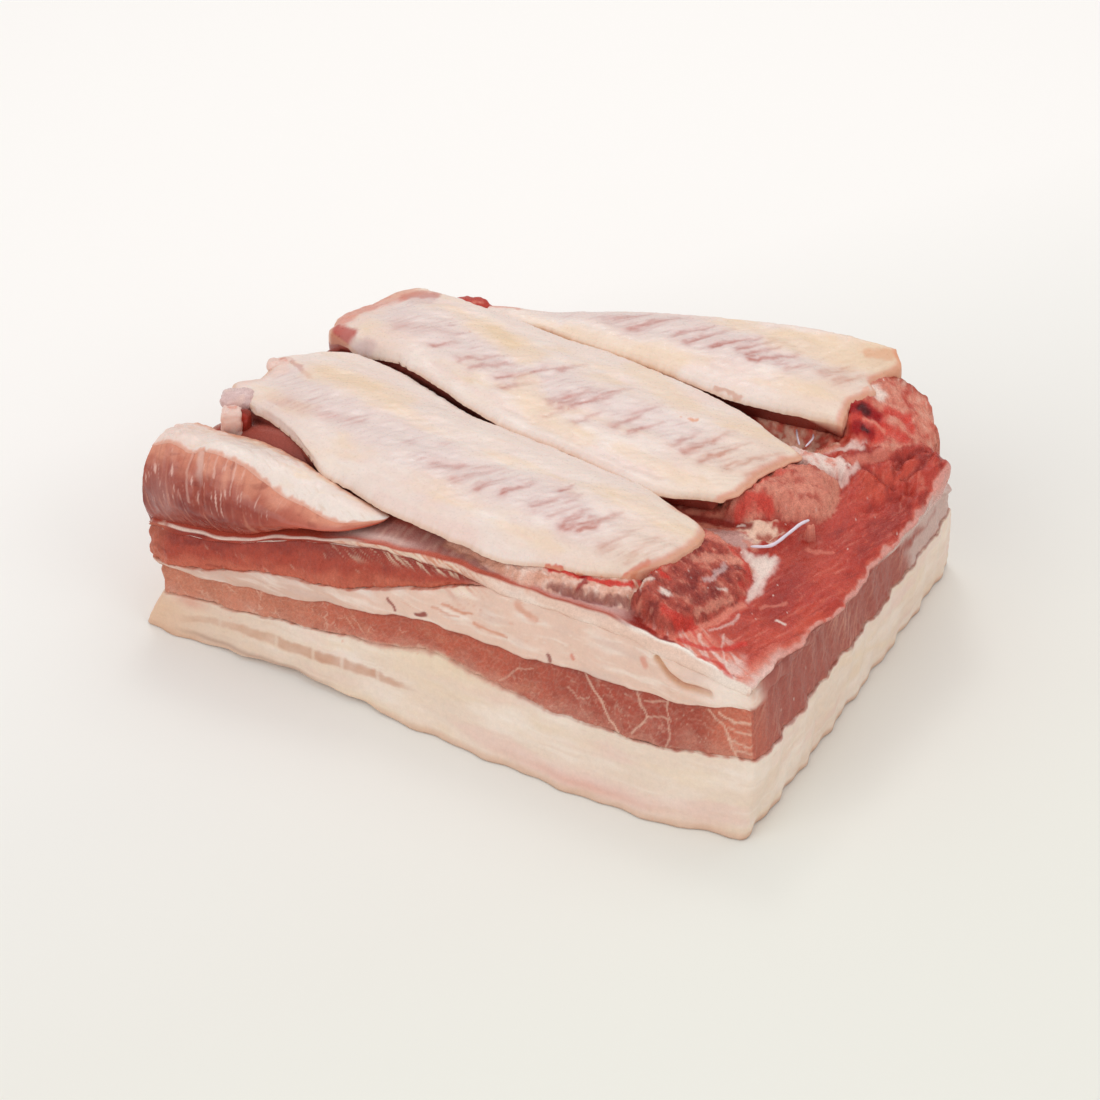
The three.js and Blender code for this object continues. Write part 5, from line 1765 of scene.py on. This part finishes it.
RIBS = (
    RibShape(
        "first_rib",
        profile(-86, -98, -99, -94.5, -95, -97, -91, -87, -76),
        profile(50, 54, 58, 59.6, 60.6, 61.3, 61, 58.5, 52),
        profile(-28, -31.5, -37, -44.3, -47, -50.5, -52.5, -54, -55.3, -56.3, -52.8, -50.8, -47.5),
        profile(14, 12.6, 7.4, 1.6, -1.2, -3.4, -6.2, -9, -15),
        profile(59.3, 60.2, 60.6, 60.9, 61.1, 61.1, 61, 60.6, 59),
        profile(56.6, 56.4, 56, 55.4, 55, 54.9, 54.9, 54.9, 54.7, 54.5, 54.9, 55.2, 55.6),
        profile(58.4, 57.4, 57.2, 57.4, 58, 58.2, 58.2, 58, 57.2),
        profile(1, 1, 1, 1, 1, 1, 1, 0.1, 0),
        profile(1, 1, 1, 1, 0.3, 0, 0, 0.6, 1),
        (1, 0),
        ((-84, -8), (-60, -20), (-36, -26), (-10, -31), (20, -34), (54, -38)),
        strokes(
            (-21, -32, -4, -26, 0.35, 2.2), (-12, -36, -4, -27, 0.5, 1.6), (-4, -37, 0, -30, 0.6, 1.3),
            (4, -36, 9, -28, 0.7), (15, -38, 21, -28, 0.5, 1.6), (27, -42, 35, -32, 0.8, 1.4),
            (21, -39, 26, -32, 0.4, 1.4), (18, -27, 19, -22, 0.7), (26, -41, 29, -32, 0.75, 1.5),
            (31, -40, 37, -29, 0.9, 1.4), (22, -31, 24, -26, 0.3, 1.4), (40, -43, 44, -35, 0.5, 1.4),
            (48, -44, 52, -33, 0.35, 1.6), (53, -41, 56, -32, 0.25, 1.6), (-81, -23, -58, -25, 0.3, 3.2),
            (-66, -24, -52, -23, 0.3, 2.6),
        ),
        (),
        marks(
            (Tone.STREAK_RED, 0.6, 0.3, -96, -26, -84, -31, -74, -33, -64, -38),
            (Tone.CREAM_PINK, 2.0, 0.5, -30, -49, -14, -52, 4, -53),
            (Tone.STREAK_RED, 0.9, 0.45, -93, -2, -87, -4, -80, -8),
            (Tone.FAT_PINK, 2.4, 0.7, -97, -18, -95, -12, -90, -8),
            (Tone.CREAM_WARM, 6.0, 0.7, -78, -4, -64, -5, -50, -6),
            (Tone.CREAM_GOLD, 3.0, 0.35, -78, -3, -60, -4),
            (Tone.STREAK_RED, 0.8, 0.5, -71, -36, -69, -38),
            (Tone.RED_BRIGHT, 0.45, 0.95, 27, -52.5, 33, -52, 40, -51.2, 47, -49.6, 52, -46, 53, -43),
            (Tone.RED_BRIGHT, 1.0, 0.7, 51, -46, 53, -42),
            (Tone.RED_PALE, 1.6, 0.6, 48, -15, 54, -16, 61, -19),
        ),
        3.0,
    ),
    RibShape(
        "second_rib",
        profile(-79, -91.5, -93.5, -94, -93, -91, -88.5, -85, -77),
        profile(57, 60.5, 61, 61.8, 63, 64.5, 66.2, 67.6, 61),
        profile(17, 14.2, 8.5, 1.6, -2.9, -4.9, -8.2, -10.8, -4.5),
        profile(53.5, 53.5, 54.5, 52.5, 52, 49, 45.5, 40.5, 32.5),
        profile(58.6, 62.2, 62.4, 62, 61.8, 61.5, 61.2, 60.4, 59.2),
        profile(55.5, 59, 59.4, 59.3, 59.4, 59.4, 59, 58.4, 57.6),
        profile(62.6, 62, 59.6, 59, 59, 59, 58.8, 58.4, 57.4),
        profile(1, 1, 1, 1, 0.3, 0, 0, 0.6, 1),
        profile(0, 0, 0, 0, 0, 0, 0.5, 1, 1),
        (0, 1),
        ((-74, 36), (-44, 28), (-15, 23), (12, 20), (36, 17), (62, 16)),
        strokes(
            (-55, 23, -49, 28, 0.6), (-71, 29, -54, 32, 0.3, 3), (-43, 20, -34, 28, 0.6, 1.4),
            (-38, 18, -28, 27, 0.6, 1.4), (-28, 17, -12, 34, 0.8, 1.1), (-24, 13, -16, 22, 0.6, 1.4),
            (-6, 6, -2, 11, 0.7, 1), (-8, 13, 2, 25, 0.6, 1.5), (4, 7, 8, 15, 0.5, 1.3), (-14, 30, -11, 34, 0.7, 1.1),
            (-4, 12, -1, 23, 0.6, 1.4), (-1, 14, 6, 22, 0.8, 1.3), (3, 19, 9, 30, 0.6, 1.3),
            (15, 11, 20, 23, 0.55, 1.5), (21, 10, 26, 18, 0.7), (17, 20, 22, 27, 0.3, 1.6), (35, 10, 38, 19, 0.5, 1.3),
            (39, 9, 46, 24, 0.8, 1.4), (45, 8, 52, 21, 0.9), (53, 9, 62, 22, 0.8, 1.4), (59, 9, 64, 18, 0.4, 1.4),
        ),
        marks((Tone.CREAM_PINK, 1.0, 0.4, -50, 15, -32, 9, -14, 4, 4, 0.5, 20, -2.5, 38, -5)),
        marks(
            (Tone.CREAM_WARM, 5.0, 0.7, -48, 42, -36, 37, -26, 32),
            (Tone.CREAM_GOLD, 2.6, 0.5, -44, 42, -34, 36),
            (Tone.CREAM_WARM, 4.0, 0.5, -20, 20, -8, 6, 10, 1),
            (Tone.CREAM_WARM, 5.0, 0.6, 6, 44, 16, 38, 28, 32),
            (Tone.CREAM_WARM, 3.0, 0.5, 22, 2, 44, -2),
            (Tone.RED, 2.2, 0.6, -80, 46, -76, 49, -71, 50),
            (Tone.RED_PALE, 1.6, 0.5, -90, 27, -87, 37, -80, 45),
            (Tone.CREAM_LILAC, 2.4, 0.6, -75, 45, -70, 46),
            (Tone.END_TAN, 4.6, 0.55, -92, 20, -92, 30, -88, 40, -82, 50),
            (Tone.STAIN, 1.4, 0.5, -93, 26, -91, 36, -86, 46),
            (Tone.RED, 2.6, 0.85, -90, 17, -88, 22, -85, 21),
            (Tone.RED, 1.2, 0.8, -92, 18, -91, 24),
            (Tone.CREAM_PINK, 2.4, 0.6, -84, 27, -84, 34, -81, 42),
            (Tone.CREAM_LILAC, 2.2, 0.7, -81, 17, -75, 18),
            (Tone.SPECK, 0.7, 0.8, 33, 25, 34.5, 26),
            (Tone.RED_PALE, 0.7, 0.6, 62, -2, 62, 5, 64, 12, 69, 19),
        ),
        13.0,
    ),
    RibShape(
        "third_rib",
        profile(-66, -68, -70, -71, -70),
        profile(71.5, 70.5, 70, 71.5, 74.5, 71.5, 73.5, 77, 73.5),
        profile(52, 51.5, 53, 51, 50, 47, 44, 45.5, 49),
        profile(58, 59, 66, 73.5, 78.5, 81.5, 83.5, 83.9, 83.9),
        profile(56.5, 60.2, 60.8, 61.8, 62.8, 63.8, 64.4, 63.8, 61.3),
        profile(57.5, 59.4, 59.8, 59.8, 59.8, 59.7, 59.6, 59.2, 58.4),
        profile(53, 55.8, 57.8, 60, 62, 63.8, 66, 67.6, 67.6),
        profile(0, 0, 0, 0, 0, 0.5, 1, 1, 0.3),
        profile(0, 0),
        (0, 0),
        ((-30, 66), (-5, 68), (18, 67), (36, 66), (56, 68), (72, 70)),
        strokes(
            (-15, 64, -5, 73, 0.5, 1.8), (-6, 62, 5, 74, 0.7, 1.9), (9, 63, 16, 72, 0.6, 1.4),
            (14, 61, 22, 72, 0.7, 1.4), (22, 62, 32, 71, 0.9, 1.3), (30, 64, 37, 72, 0.6, 1.4),
            (34, 62, 41, 71, 0.7, 1.3), (36, 60, 47, 68, 0.9), (48, 61, 54, 67, 0.4, 1.4), (58, 64, 64, 72, 0.6, 1.5),
            (63, 63, 71, 74, 0.6, 1.5),
        ),
        (),
        marks(
            (Tone.STREAK_RED, 3.0, 0.6, -70, 56, -62, 57),
            (Tone.FAT_PINK, 2.4, 0.7, -56, 57, -46, 60, -38, 64),
            (Tone.STAIN, 1.0, 0.5, -54, 56, -44, 58),
            (Tone.CREAM_WARM, 4.0, 0.6, -24, 53, -4, 52, 14, 51),
            (Tone.CREAM_GOLD, 5.0, 0.5, 40, 74, 60, 76, 74, 80),
            (Tone.SKIRT, 0.5, 0.6, 31, 46, 36, 45.2, 40, 45),
            (Tone.SPECK, 1.6, 0.6, 66, 79, 72, 81, 77, 82),
            (Tone.RED_PALE, 0.9, 0.6, 73, 59, 72, 66),
        ),
        23.0,
    ),
)


@dataclass(frozen=True, eq=False)
class Lump:
    """A rounded block of tissue: a ball drawn towards a box, turned about z, with an uneven skin. Sizes in mm."""

    name: str
    centre: tuple[float, float, float]
    half: tuple[float, float, float]
    turn: float
    square: float
    finish: Finish
    colour: Array
    accent: Array
    rough: float = 0.4
    rows: int = 46
    columns: int = 72

    def build(self) -> bpy.types.Object:
        """Raises the ball's cosines and sines to the power square, keeping their signs, and adds relief."""
        up = np.linspace(-1.5, 1.5, self.rows)[:, None]
        around = np.linspace(0, 2 * np.pi, self.columns, endpoint=False)[None]

        def drawn(value: Array) -> Array:
            """The value to the power, with its sign."""
            return np.sign(value) * np.abs(value) ** self.square

        x = drawn(np.cos(up)) * drawn(np.cos(around)) * self.half[0]
        y = drawn(np.cos(up)) * drawn(np.sin(around)) * self.half[1]
        z = drawn(np.sin(up)) * np.ones_like(around) * self.half[2]
        swell = 1 + self.rough * 0.3 * layered(x / 3 + self.centre[0], y / 3 + self.centre[1], z / 3)
        x, y, z = x * swell, y * swell, z * swell
        c, s = math.cos(self.turn), math.sin(self.turn)
        points = np.stack([c * x - s * y, s * x + c * y, z], axis=-1) + np.asarray(self.centre)
        coat = Coat(x.shape, self.colour, 0.7)
        patch = layered(points[..., 0] / 3.5, points[..., 1] / 3.5, points[..., 2] / 3.5)
        coat.lay(self.accent, 0.7, patch, 0.05, 0.8)
        coat.lay(self.accent, 0.6 * fade(np.sin(up) * np.ones_like(around), -0.9, -0.3))
        return loft(self.name, points, coat, self.finish)


@dataclass(frozen=True, eq=False)
class Strand:
    """A thread of sinew along a line of points in mm, pointed at both ends."""

    name: str
    line: tuple[tuple[float, float, float], ...]
    radius: float
    rows: int = 60
    columns: int = 12

    def build(self) -> bpy.types.Object:
        """Sweeps a circle along the smooth curve through the points, with its radius as sqrt(1 - (2t - 1)^6)."""
        t = np.linspace(0, 1, self.rows)
        path = np.stack([profile(*axis)(t) for axis in zip(*self.line)], axis=-1)
        along = np.gradient(path, axis=0)
        side = np.cross(along, [0.0, 0.0, 1.0])
        side /= np.linalg.norm(side, axis=1, keepdims=True)
        up = np.cross(side, along)
        up /= np.linalg.norm(up, axis=1, keepdims=True)
        radius = self.radius * np.sqrt(np.clip(1 - (2 * t - 1) ** 6, 0.0025, 1)) * (1 + 0.25 * noise(t * 9, t * 0))
        around = np.linspace(0, 2 * np.pi, self.columns, endpoint=False)[None, :, None]
        ring = side[:, None] * np.cos(around) + up[:, None] * np.sin(around)
        points = path[:, None] + ring * radius[:, None, None]
        return loft(self.name, points, Coat(points.shape[:2], Tone.THREAD, 0.95), Finishes.SINEW)


# ---- the folded flap ------------------------------------------------------------------------------------------------
@dataclass(frozen=True)
class Flap:
    """The flap at the front left: a glossy bulge of lean under a slope of fat, both parts of one outer skin.

    The profiles run from the flap's left end to its tip. Stages of the skin are its foot, belly, brow, shoulder,
    crest, slope and back edge.
    """

    left: float = -102.2
    right: float = -25.0
    slices: int = 230
    end_slices: int = 6
    end_bulge: float = 0.8
    lean_columns: int = 110
    fat_columns: int = 80
    inner_columns: int = 12

    STAGES_Y = (
        profile(-62, -61.5, -61, -61, -61, -60.5, -56),
        profile(-64.5, -65.5, -65.5, -65, -63.5, -61.5, -56),
        profile(-62.5, -63.5, -63.8, -63.5, -62, -61, -56),
        profile(-57.5, -57.5, -57.5, -57, -57.5, -59.5, -55.5),
        profile(-52, -52.5, -53, -52, -52.5, -55, -53.5),
        profile(-44, -45, -45, -46, -48, -51, -51.5),
        profile(-37, -38, -37.5, -40.5, -44, -48, -49.4),
    )
    STAGES_Z = (
        profile(31.5, 33.6, 35.2, 39.4, 45.2, 48.4, 50),
        profile(41, 43, 43.6, 45, 47.6, 49.2, 50.6),
        profile(50.8, 52, 52.8, 51.2, 49.6, 50, 50.8),
        profile(56, 58.6, 57, 59.6, 59.6, 58.2, 54.8, 52.4, 51.6, 51.4, 51.2, 51.6, 51.4),
        profile(57.6, 60, 59, 60.9, 60.9, 59.8, 57.4, 55.4, 54.6, 54.2, 53.6, 53.0, 52.4),
        profile(56, 57, 57.4, 56.6, 55.0, 53.8, 52.8),
        profile(52.8, 53.4, 53.6, 53.8, 53.6, 53, 52.6),
    )
    TIP = (-50.4, 51.8)
    SHOULDER = 3 / 6
    LOBE = ((-88, 64), (-84.5, 58), (-82, 52), (-81, 46))
    GLEAMS = marks(
        (Tone.FLAP_GLEAM, 0.5, 0.45, -89, 62, -87.5, 55, -85.5, 50, -84.5, 47),
        (Tone.FLAP_GLEAM, 0.3, 0.6, -79.5, 62, -78.5, 58, -77.5, 55),
        (Tone.FLAP_GLEAM, 0.3, 0.6, -72.5, 59, -71.5, 55, -71, 52),
        (Tone.FLAP_GLEAM, 0.25, 0.6, -75.5, 61, -75, 57),
    )

    def build(self) -> list[bpy.types.Object]:
        """Builds the lean and the fat, which share the line along the shoulder.

        The outer skin at share c of the way from foot to back edge is the smooth curve through its stages. The lean
        takes it up to the shoulder and the fat from there on; each returns inside along a shrunken copy.

        Returns:
            The lean and the fat.
        """
        t = np.linspace(0, 1, self.slices)[:, None]
        lean_c = np.linspace(0, 1, self.lean_columns)[None] * self.SHOULDER
        fat_c = self.SHOULDER + np.linspace(0, 1, self.fat_columns)[None] * (1 - self.SHOULDER)
        lean, lean_seam = self._closed(t, lean_c, 5.0)
        fat, fat_seam = self._closed(t, fat_c, 1.8)
        lean_piece = loft("flap_muscle", lean, self._lean_coat(lean, t, lean_c), Finishes.FLAP_LEAN, lean_seam)
        fat_piece = loft("flap_cover", fat, self._fat_coat(fat, t, fat_c), Finishes.FAT, fat_seam)
        return [lean_piece, fat_piece]

    def _skin(self, t: Array, c: Array) -> Array:
        """Points of the outer skin."""
        t, c = np.broadcast_arrays(t, c)
        y, z = (
            np.stack([profile(*column)(row) for column, row in zip(np.stack([at(t[:, 0]) for at in stages]).T, c)])
            for stages in (self.STAGES_Y, self.STAGES_Z)
        )
        x = mix(self.left, self.right, t) + 1.6 * (c - 0.5) * (1 - t)
        taper = self._taper(t)
        y, z = mix(self.TIP[0], y, taper), mix(self.TIP[1], z, taper)
        on_lean = fade(c, 0.46, 0.62)
        ridges = 0.3 * layered(x / 2.4 + 0.1 * z, z / 12, 3.0, octaves=2)
        broad = 0.6 * layered(x / 15, z / 12 + y / 15, 8.0)
        crease = 1.3 * bell(line_distance(x, z, self.LOBE), 0, 1.6)
        y = y - (ridges + broad - crease) * on_lean * (1 - t**3)
        on_fat = 0.5 * layered(x / 8, y / 8, 5.0) + 0.2 * layered(x / 2.5, y / 5)
        z = z + on_fat * step(c, 0.45, 0.7) * (1 - t**3)
        lumps = 0.9 * step(noise(x / 3.4, y / 4, 6.0), 0.0, 0.6) * fade(x, -96, -90) * step(c, 0.5, 0.6)
        return np.stack([x, y, z + lumps * fade(c, 0.75, 0.9)], axis=-1)

    @staticmethod
    def _taper(t: Array) -> Array:
        """The share of its width that the skin keeps: sqrt(1 - w^2) at the share w of the way through the tip."""
        return np.sqrt(np.clip(1 - np.clip((t - 0.86) / 0.14, 0, 1) ** 2, 0.004, 1))

    def _closed(self, t: Array, c: Array, depth: float) -> tuple[Array, Seam]:
        """The skin's part between the c given, closed inside by a line that lies depth mm below it."""
        outer = self._skin(t, c)
        back = np.linspace(c[0, -1], c[0, 0], self.inner_columns)[None]
        inner = self._skin(t, back)
        thin = depth * (1 - 0.8 * t**2) * self._taper(t)
        inner[..., 1] += thin * fade(back, 0.3, 0.7)
        inner[..., 2] -= thin * step(back, 0.2, 0.6)
        loops = np.concatenate([outer, inner], axis=1)
        count = outer.shape[1]
        seam = Seam(np.arange(count), count + np.arange(self.inner_columns)[::-1], c[0], back[0, ::-1])
        return seam.capped(loops, self.end_slices, self.end_bulge, right=False), seam

    def _places(self, loops: Array, t: Array, c: Array) -> tuple[Array, Array]:
        """The shares t and c of every point of the loops."""
        whole = np.concatenate([np.zeros((self.end_slices, 1)), t])
        round_c = np.concatenate([c, np.linspace(c[0, -1], c[0, 0], self.inner_columns)[None]], axis=1)
        return np.broadcast_to(whole, loops.shape[:2]), np.broadcast_to(round_c, loops.shape[:2])

    def _lean_coat(self, loops: Array, t: Array, c: Array) -> Coat:
        """Glossy lean: painted top light at its brow, painted shade at its belly, pale fibres and an orange foot to the
        right.
        """
        x, y, z = np.moveaxis(loops, -1, 0)
        t, height = self._places(loops, t, c)
        share = height / self.SHOULDER
        coat = Coat(x.shape, Tone.FLAP, 0.95)
        patch = layered(x / 8, z / 6, 2.0)
        # painted shade over the lean's own tone: darker at the belly, and in the recess colour at the foot
        coat.lay(Tone.FLAP_DARK, bell(share, 0.25, 0.48) * fade(t, 0.5, 0.85) * (0.85 + 0.4 * patch))
        coat.lay(Tone.RECESS_MEAT_AND_SHADE, 0.6 * bell(share, 0.05, 0.18) * fade(t, 0.45, 0.7))
        # painted top light over the lean's own tone: lighter at the brow, and over the upper half towards the tip
        coat.lay(Tone.FLAP_LIGHT, 0.85, share + 0.2 * patch, 0.62, 1.0)
        coat.lay(Tone.FLAP_LIGHT, 0.3 * step(t, 0.5, 0.8), share, 0.3, 0.8)
        coat.lay(Tone.FLAP_FOOT, 0.75 * step(t, 0.35, 0.75) * fade(share, 0.2, 0.7))
        fibre = layered((x + 0.22 * z) / 1.3, z / 12, 4.0, octaves=2)
        coat.lay(Tone.FLAP_LIGHT, 0.4 * step(fibre, 0.2, 0.9) * fade(t, 0.5, 0.8))
        coat.lay(Tone.FLAP_DARK, 0.3 * step(-fibre, 0.3, 0.9) * fade(t, 0.5, 0.8))
        swirl = layered(x / 5 + 0.6 * patch, z / 2.2, 14.0)
        coat.lay(Tone.FLAP_DARK, 0.3, swirl, 0.3, 0.8)
        coat.lay(Tone.PURPLE, 0.5 * bell(x, -96, 6) * bell(share, 0.4, 0.3))
        glints = noise((x + 0.2 * z) / 0.8, z / 5, 21.0) + 0.5 * noise(x / 4, z / 4, 3.0)
        gleaming = 0.8 * step(glints, 0.4, 0.8) * between(share, 0.4, 0.95, 0.15)
        coat.lay(Tone.FLAP_GLEAM, gleaming * fade(t, 0.45, 0.75))
        a, b = wobbled(x, z, 0.5, 3)
        coat.draw(self.GLEAMS, a, b, 0.8 * fade(t, 0.9, 1))
        lobe = line_distance(a, b, self.LOBE)
        coat.lay(Tone.FAT_PINK, 0.5 * fade(lobe, 0.5, 1.8), z, 50, 56)
        coat.lay(Tone.FLAP_FOOT, 0.5 * bell(share, 0.01, 0.04), t, 0.3, 0.5)
        return coat

    def _fat_coat(self, loops: Array, t: Array, c: Array) -> Coat:
        """Cream fat, whitest on its slope, orange along its back edge and its tip."""
        x, y, _ = np.moveaxis(loops, -1, 0)
        t, height = self._places(loops, t, c)
        coat = Coat(x.shape, Tone.CREAM, 0.6)
        coat.lay(Tone.CREAM_WHITE, 0.7 * bell(height, 0.62, 0.12))
        coat.lay(Tone.CREAM_WARM, 0.7, layered(x / 12, y / 4, 3.0) + 2 * (height - 0.8), -0.1, 0.7)
        coat.lay(Tone.FAT_PINK, 0.5 * fade(t, 0.05, 0.3))
        coat.lay(Tone.SPECK, 0.75, height + 0.05 * noise(x / 3, y / 3), 0.86, 0.98)
        coat.lay(Tone.SPECK, 0.5 * step(t, 0.8, 1.0), height, 0.6, 0.9)
        strands = layered((x - y) / 9, (y + 0.5 * x) / 1.2, 7.0)
        coat.lay(Tone.FAT_STRING, 0.45, strands, 0.3, 1.0)
        coat.lay(Tone.FIBRE_ORANGE, 0.35 * step(layered(x / 8, y / 1.6, 17.0), 0.4, 1.0), height, 0.72, 0.85)
        coat.lay(Tone.SPECK, 0.7, noise(x / 2, y / 1.5, 33.0), 0.8, 0.95)
        ragged = height - self.SHOULDER - 0.02 - 0.03 * layered(x / 3, y / 9, 2.0)
        coat.lay(Tone.FLAP_LIGHT, 0.8 * fade(ragged, -0.01, 0.035))
        return coat


# ---- studio ---------------------------------------------------------------------------------------------------------
@dataclass(frozen=True)
class Studio:
    """A pale floor with a painted light falloff, soft light from above and behind, and the camera."""

    azimuth: float = 29.1
    elevation: float = 35.1
    focal_length: float = 81.8
    sensor_width: float = 36
    camera_at: tuple[float, float, float] = (301.595, -542.948, 454.254)
    floor_size: float = 6.0

    CLIP = (0.05, 20)
    FLOOR_DROP = 0.0002
    FLOOR_WAY = (1.827, -1.067)
    # painted light falloff: floor tones along the floor's way, darker towards the viewer and the right
    FLOOR_FALLOFF_TONES = (
        (-0.335, tint(254, 251, 248)),
        (-0.135, tint(247, 245, 241)),
        (0.052, tint(242, 240, 235)),
        (0.232, tint(240, 238, 231)),
        (0.335, tint(240, 239, 231)),
    )
    SURROUND = {"Color": (1.0, 0.995, 0.985, 1), "Strength": 0.62}
    LIGHTS = (
        ("key", (-0.15, 0.75, 1.45), 1.2, 4.5),
        ("front_fill", (-0.5, -1.5, 1.1), 1.5, 9.5),
        ("right_fill", (1.6, -0.2, 0.9), 1.2, 5.0),
        ("sparkle", (-0.35, 0.5, 0.9), 0.22, 0.8),
    )

    def build(self) -> None:
        """Makes the floor, the world, the lights and the camera."""
        self._floor()
        world = bpy.context.scene.world or bpy.data.worlds.new("surround")
        bpy.context.scene.world = world
        world.use_nodes = True
        for name, value in self.SURROUND.items():
            world.node_tree.nodes["Background"].inputs[name].default_value = value
        for light in self.LIGHTS:
            self._light(*light)
        self._camera()

    def _floor(self) -> None:
        """A plain wide sheet with a painted light falloff: its tone darkens slowly towards the viewer and the right."""
        half = self.floor_size / 2
        mesh = bpy.data.meshes.new("floor")
        mesh.from_pydata([(-half, -half, 0), (half, -half, 0), (half, half, 0), (-half, half, 0)], [], [(0, 1, 2, 3)])
        floor = linked("floor", mesh)
        floor.location.z = -self.FLOOR_DROP
        nodes = Nodes("floor_painted_falloff")
        place = nodes.add("TexCoord", {}).outputs["Object"]
        way = nodes.add("VectorMath", {1: (*self.FLOOR_WAY, 0), 0: place}, operation="DOT_PRODUCT").outputs["Value"]
        first, last = self.FLOOR_FALLOFF_TONES[0][0], self.FLOOR_FALLOFF_TONES[-1][0]
        ramp = nodes.add("ValToRGB", {"Fac": nodes.ranged(way, 0.0, 1.0, first, last)})
        stops = ramp.color_ramp.elements
        while len(stops) < len(self.FLOOR_FALLOFF_TONES):
            stops.new(0.5)
        for stop, (place_along, tone) in zip(stops, self.FLOOR_FALLOFF_TONES):
            stop.position = (place_along - first) / (last - first)
            stop.color = (*tone, 1)
        look = {"Base Color": ramp.outputs["Color"], "Roughness": 0.9, "Specular IOR Level": 0.0}
        nodes.fill(nodes.shader, look)
        mesh.materials.append(nodes.material)

    @staticmethod
    def _light(name: str, at: tuple[float, float, float], size: float, power: float) -> None:
        """A square soft light that faces the slab, in metres and watts."""
        data = bpy.data.lights.new(name, "AREA")
        data.size, data.energy = size, power
        light = linked(name, data)
        light.location = at
        light.rotation_euler = (-Vector(at)).to_track_quat("-Z", "Y").to_euler()

    def _camera(self) -> None:
        """The camera, looking down along its azimuth and elevation."""
        data = bpy.data.cameras.new("camera")
        data.lens, data.sensor_width, data.sensor_fit = self.focal_length, self.sensor_width, "AUTO"
        data.clip_start, data.clip_end = self.CLIP
        camera = linked("camera", data)
        camera.location = FRAME.metres(np.array(self.camera_at))
        a, e = math.radians(self.azimuth), math.radians(self.elevation)
        toward = Vector((-math.sin(a) * math.cos(e), math.cos(a) * math.cos(e), -math.sin(e)))
        camera.rotation_euler = toward.to_track_quat("-Z", "Y").to_euler()
        bpy.context.scene.camera = camera
        bpy.context.scene.view_settings.view_transform = "Standard"


# ---- assembly -------------------------------------------------------------------------------------------------------
LAYERS = (
    SlabLayer("fat_under_skin", Level.UNDERSIDE, Level.FAT_TOP, Finishes.FAT, 46, 0.5),
    SlabLayer("lower_muscle", Level.FAT_TOP, Level.LOWER_LEAN_TOP, Finishes.LEAN, 34, -0.3),
    SlabLayer("middle_fat_layer", Level.LOWER_LEAN_TOP, Level.STREAK_BOTTOM, Finishes.FAT, 34, 0.5, rounding=0.1),
    SlabLayer("upper_muscle", Level.STREAK_BOTTOM, Level.STREAK_TOP, Finishes.LEAN, 30, 0.9, end=SlabForm.STREAK_END),
)
LAYER_NODES = ("fat_cap", "lean_lower", "fat_middle", "lean_upper")
RIB_LUMPS = (
    # the tab's root, coloured dark red as the shaded gap beside the front tab
    Lump("shaded_tab_root", (-88.8, -31.2, 53.2), (2.4, 2.6, 4.8), 0.4, 0.7, Finishes.RED_MEAT, Tone.UPPER_DARK, Tone.RED),
    Lump("front_tab", (-91, -33.6, 53.8), (3.3, 3.0, 5.0), 0.5, 0.45, Finishes.FAT, Tone.FAT_PINK, Tone.STAIN),
    Lump("knob", (-94.6, -25.2, 56.6), (5.4, 4.2, 2.9), 0.5, 0.8, Finishes.SINEW, Tone.CREAM_LILAC, Tone.FAT_PINK),
    Lump("back_tab", (-93, -4.5, 58.0), (4.2, 3.0, 1.8), 0.5, 0.5, Finishes.FAT, Tone.FAT_PINK, Tone.STAIN),
)
BED_LUMPS = (
    Lump("back_clot", (-59.5, 54.5, 57.8), (7, 4, 4.2), 0.3, 0.9, Finishes.RED_MEAT, Tone.RED, Tone.RED_PALE, 0.3),
)
THREADS = (
    Strand("thread", ((71, -13, 51.2), (76, -10, 51.4), (78, -3, 51.8), (79.5, 2, 52.6), (81, 5, 52.8)), 0.5),
    Strand("hole_thread_left", ((57, 49, 51.5), (59.5, 44, 52.5), (62, 40, 52.6)), 0.3),
    Strand("hole_thread_right", ((62.5, 49, 51.5), (64, 45, 52.5), (64, 40, 52.6)), 0.3),
)


def main() -> None:
    """Builds the slab from the skin up, then the studio."""
    logging.basicConfig(level=logging.INFO, format="%(message)s")
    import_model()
    for layer, node in zip(LAYERS, LAYER_NODES):
        place(layer.build(), node, node)
    place(RibBed().build(), "rib_meat", "rib_meat")
    for number, shape in enumerate(RIBS, start=1):
        place(Rib(shape).build(), f"rib_{number}", f"rib_{number}")
    for lump in RIB_LUMPS:
        place(lump.build(), "rib_1", "rib_1")
    for detail in (*BED_LUMPS, *THREADS):
        place(detail.build(), "rib_meat")
    lean, fat = Flap().build()
    place(lean, "flap_lean", "flap_lean")
    place(fat, "flap_fat", "flap_fat")
    Studio().build()


if __name__ == "__main__":
    main()
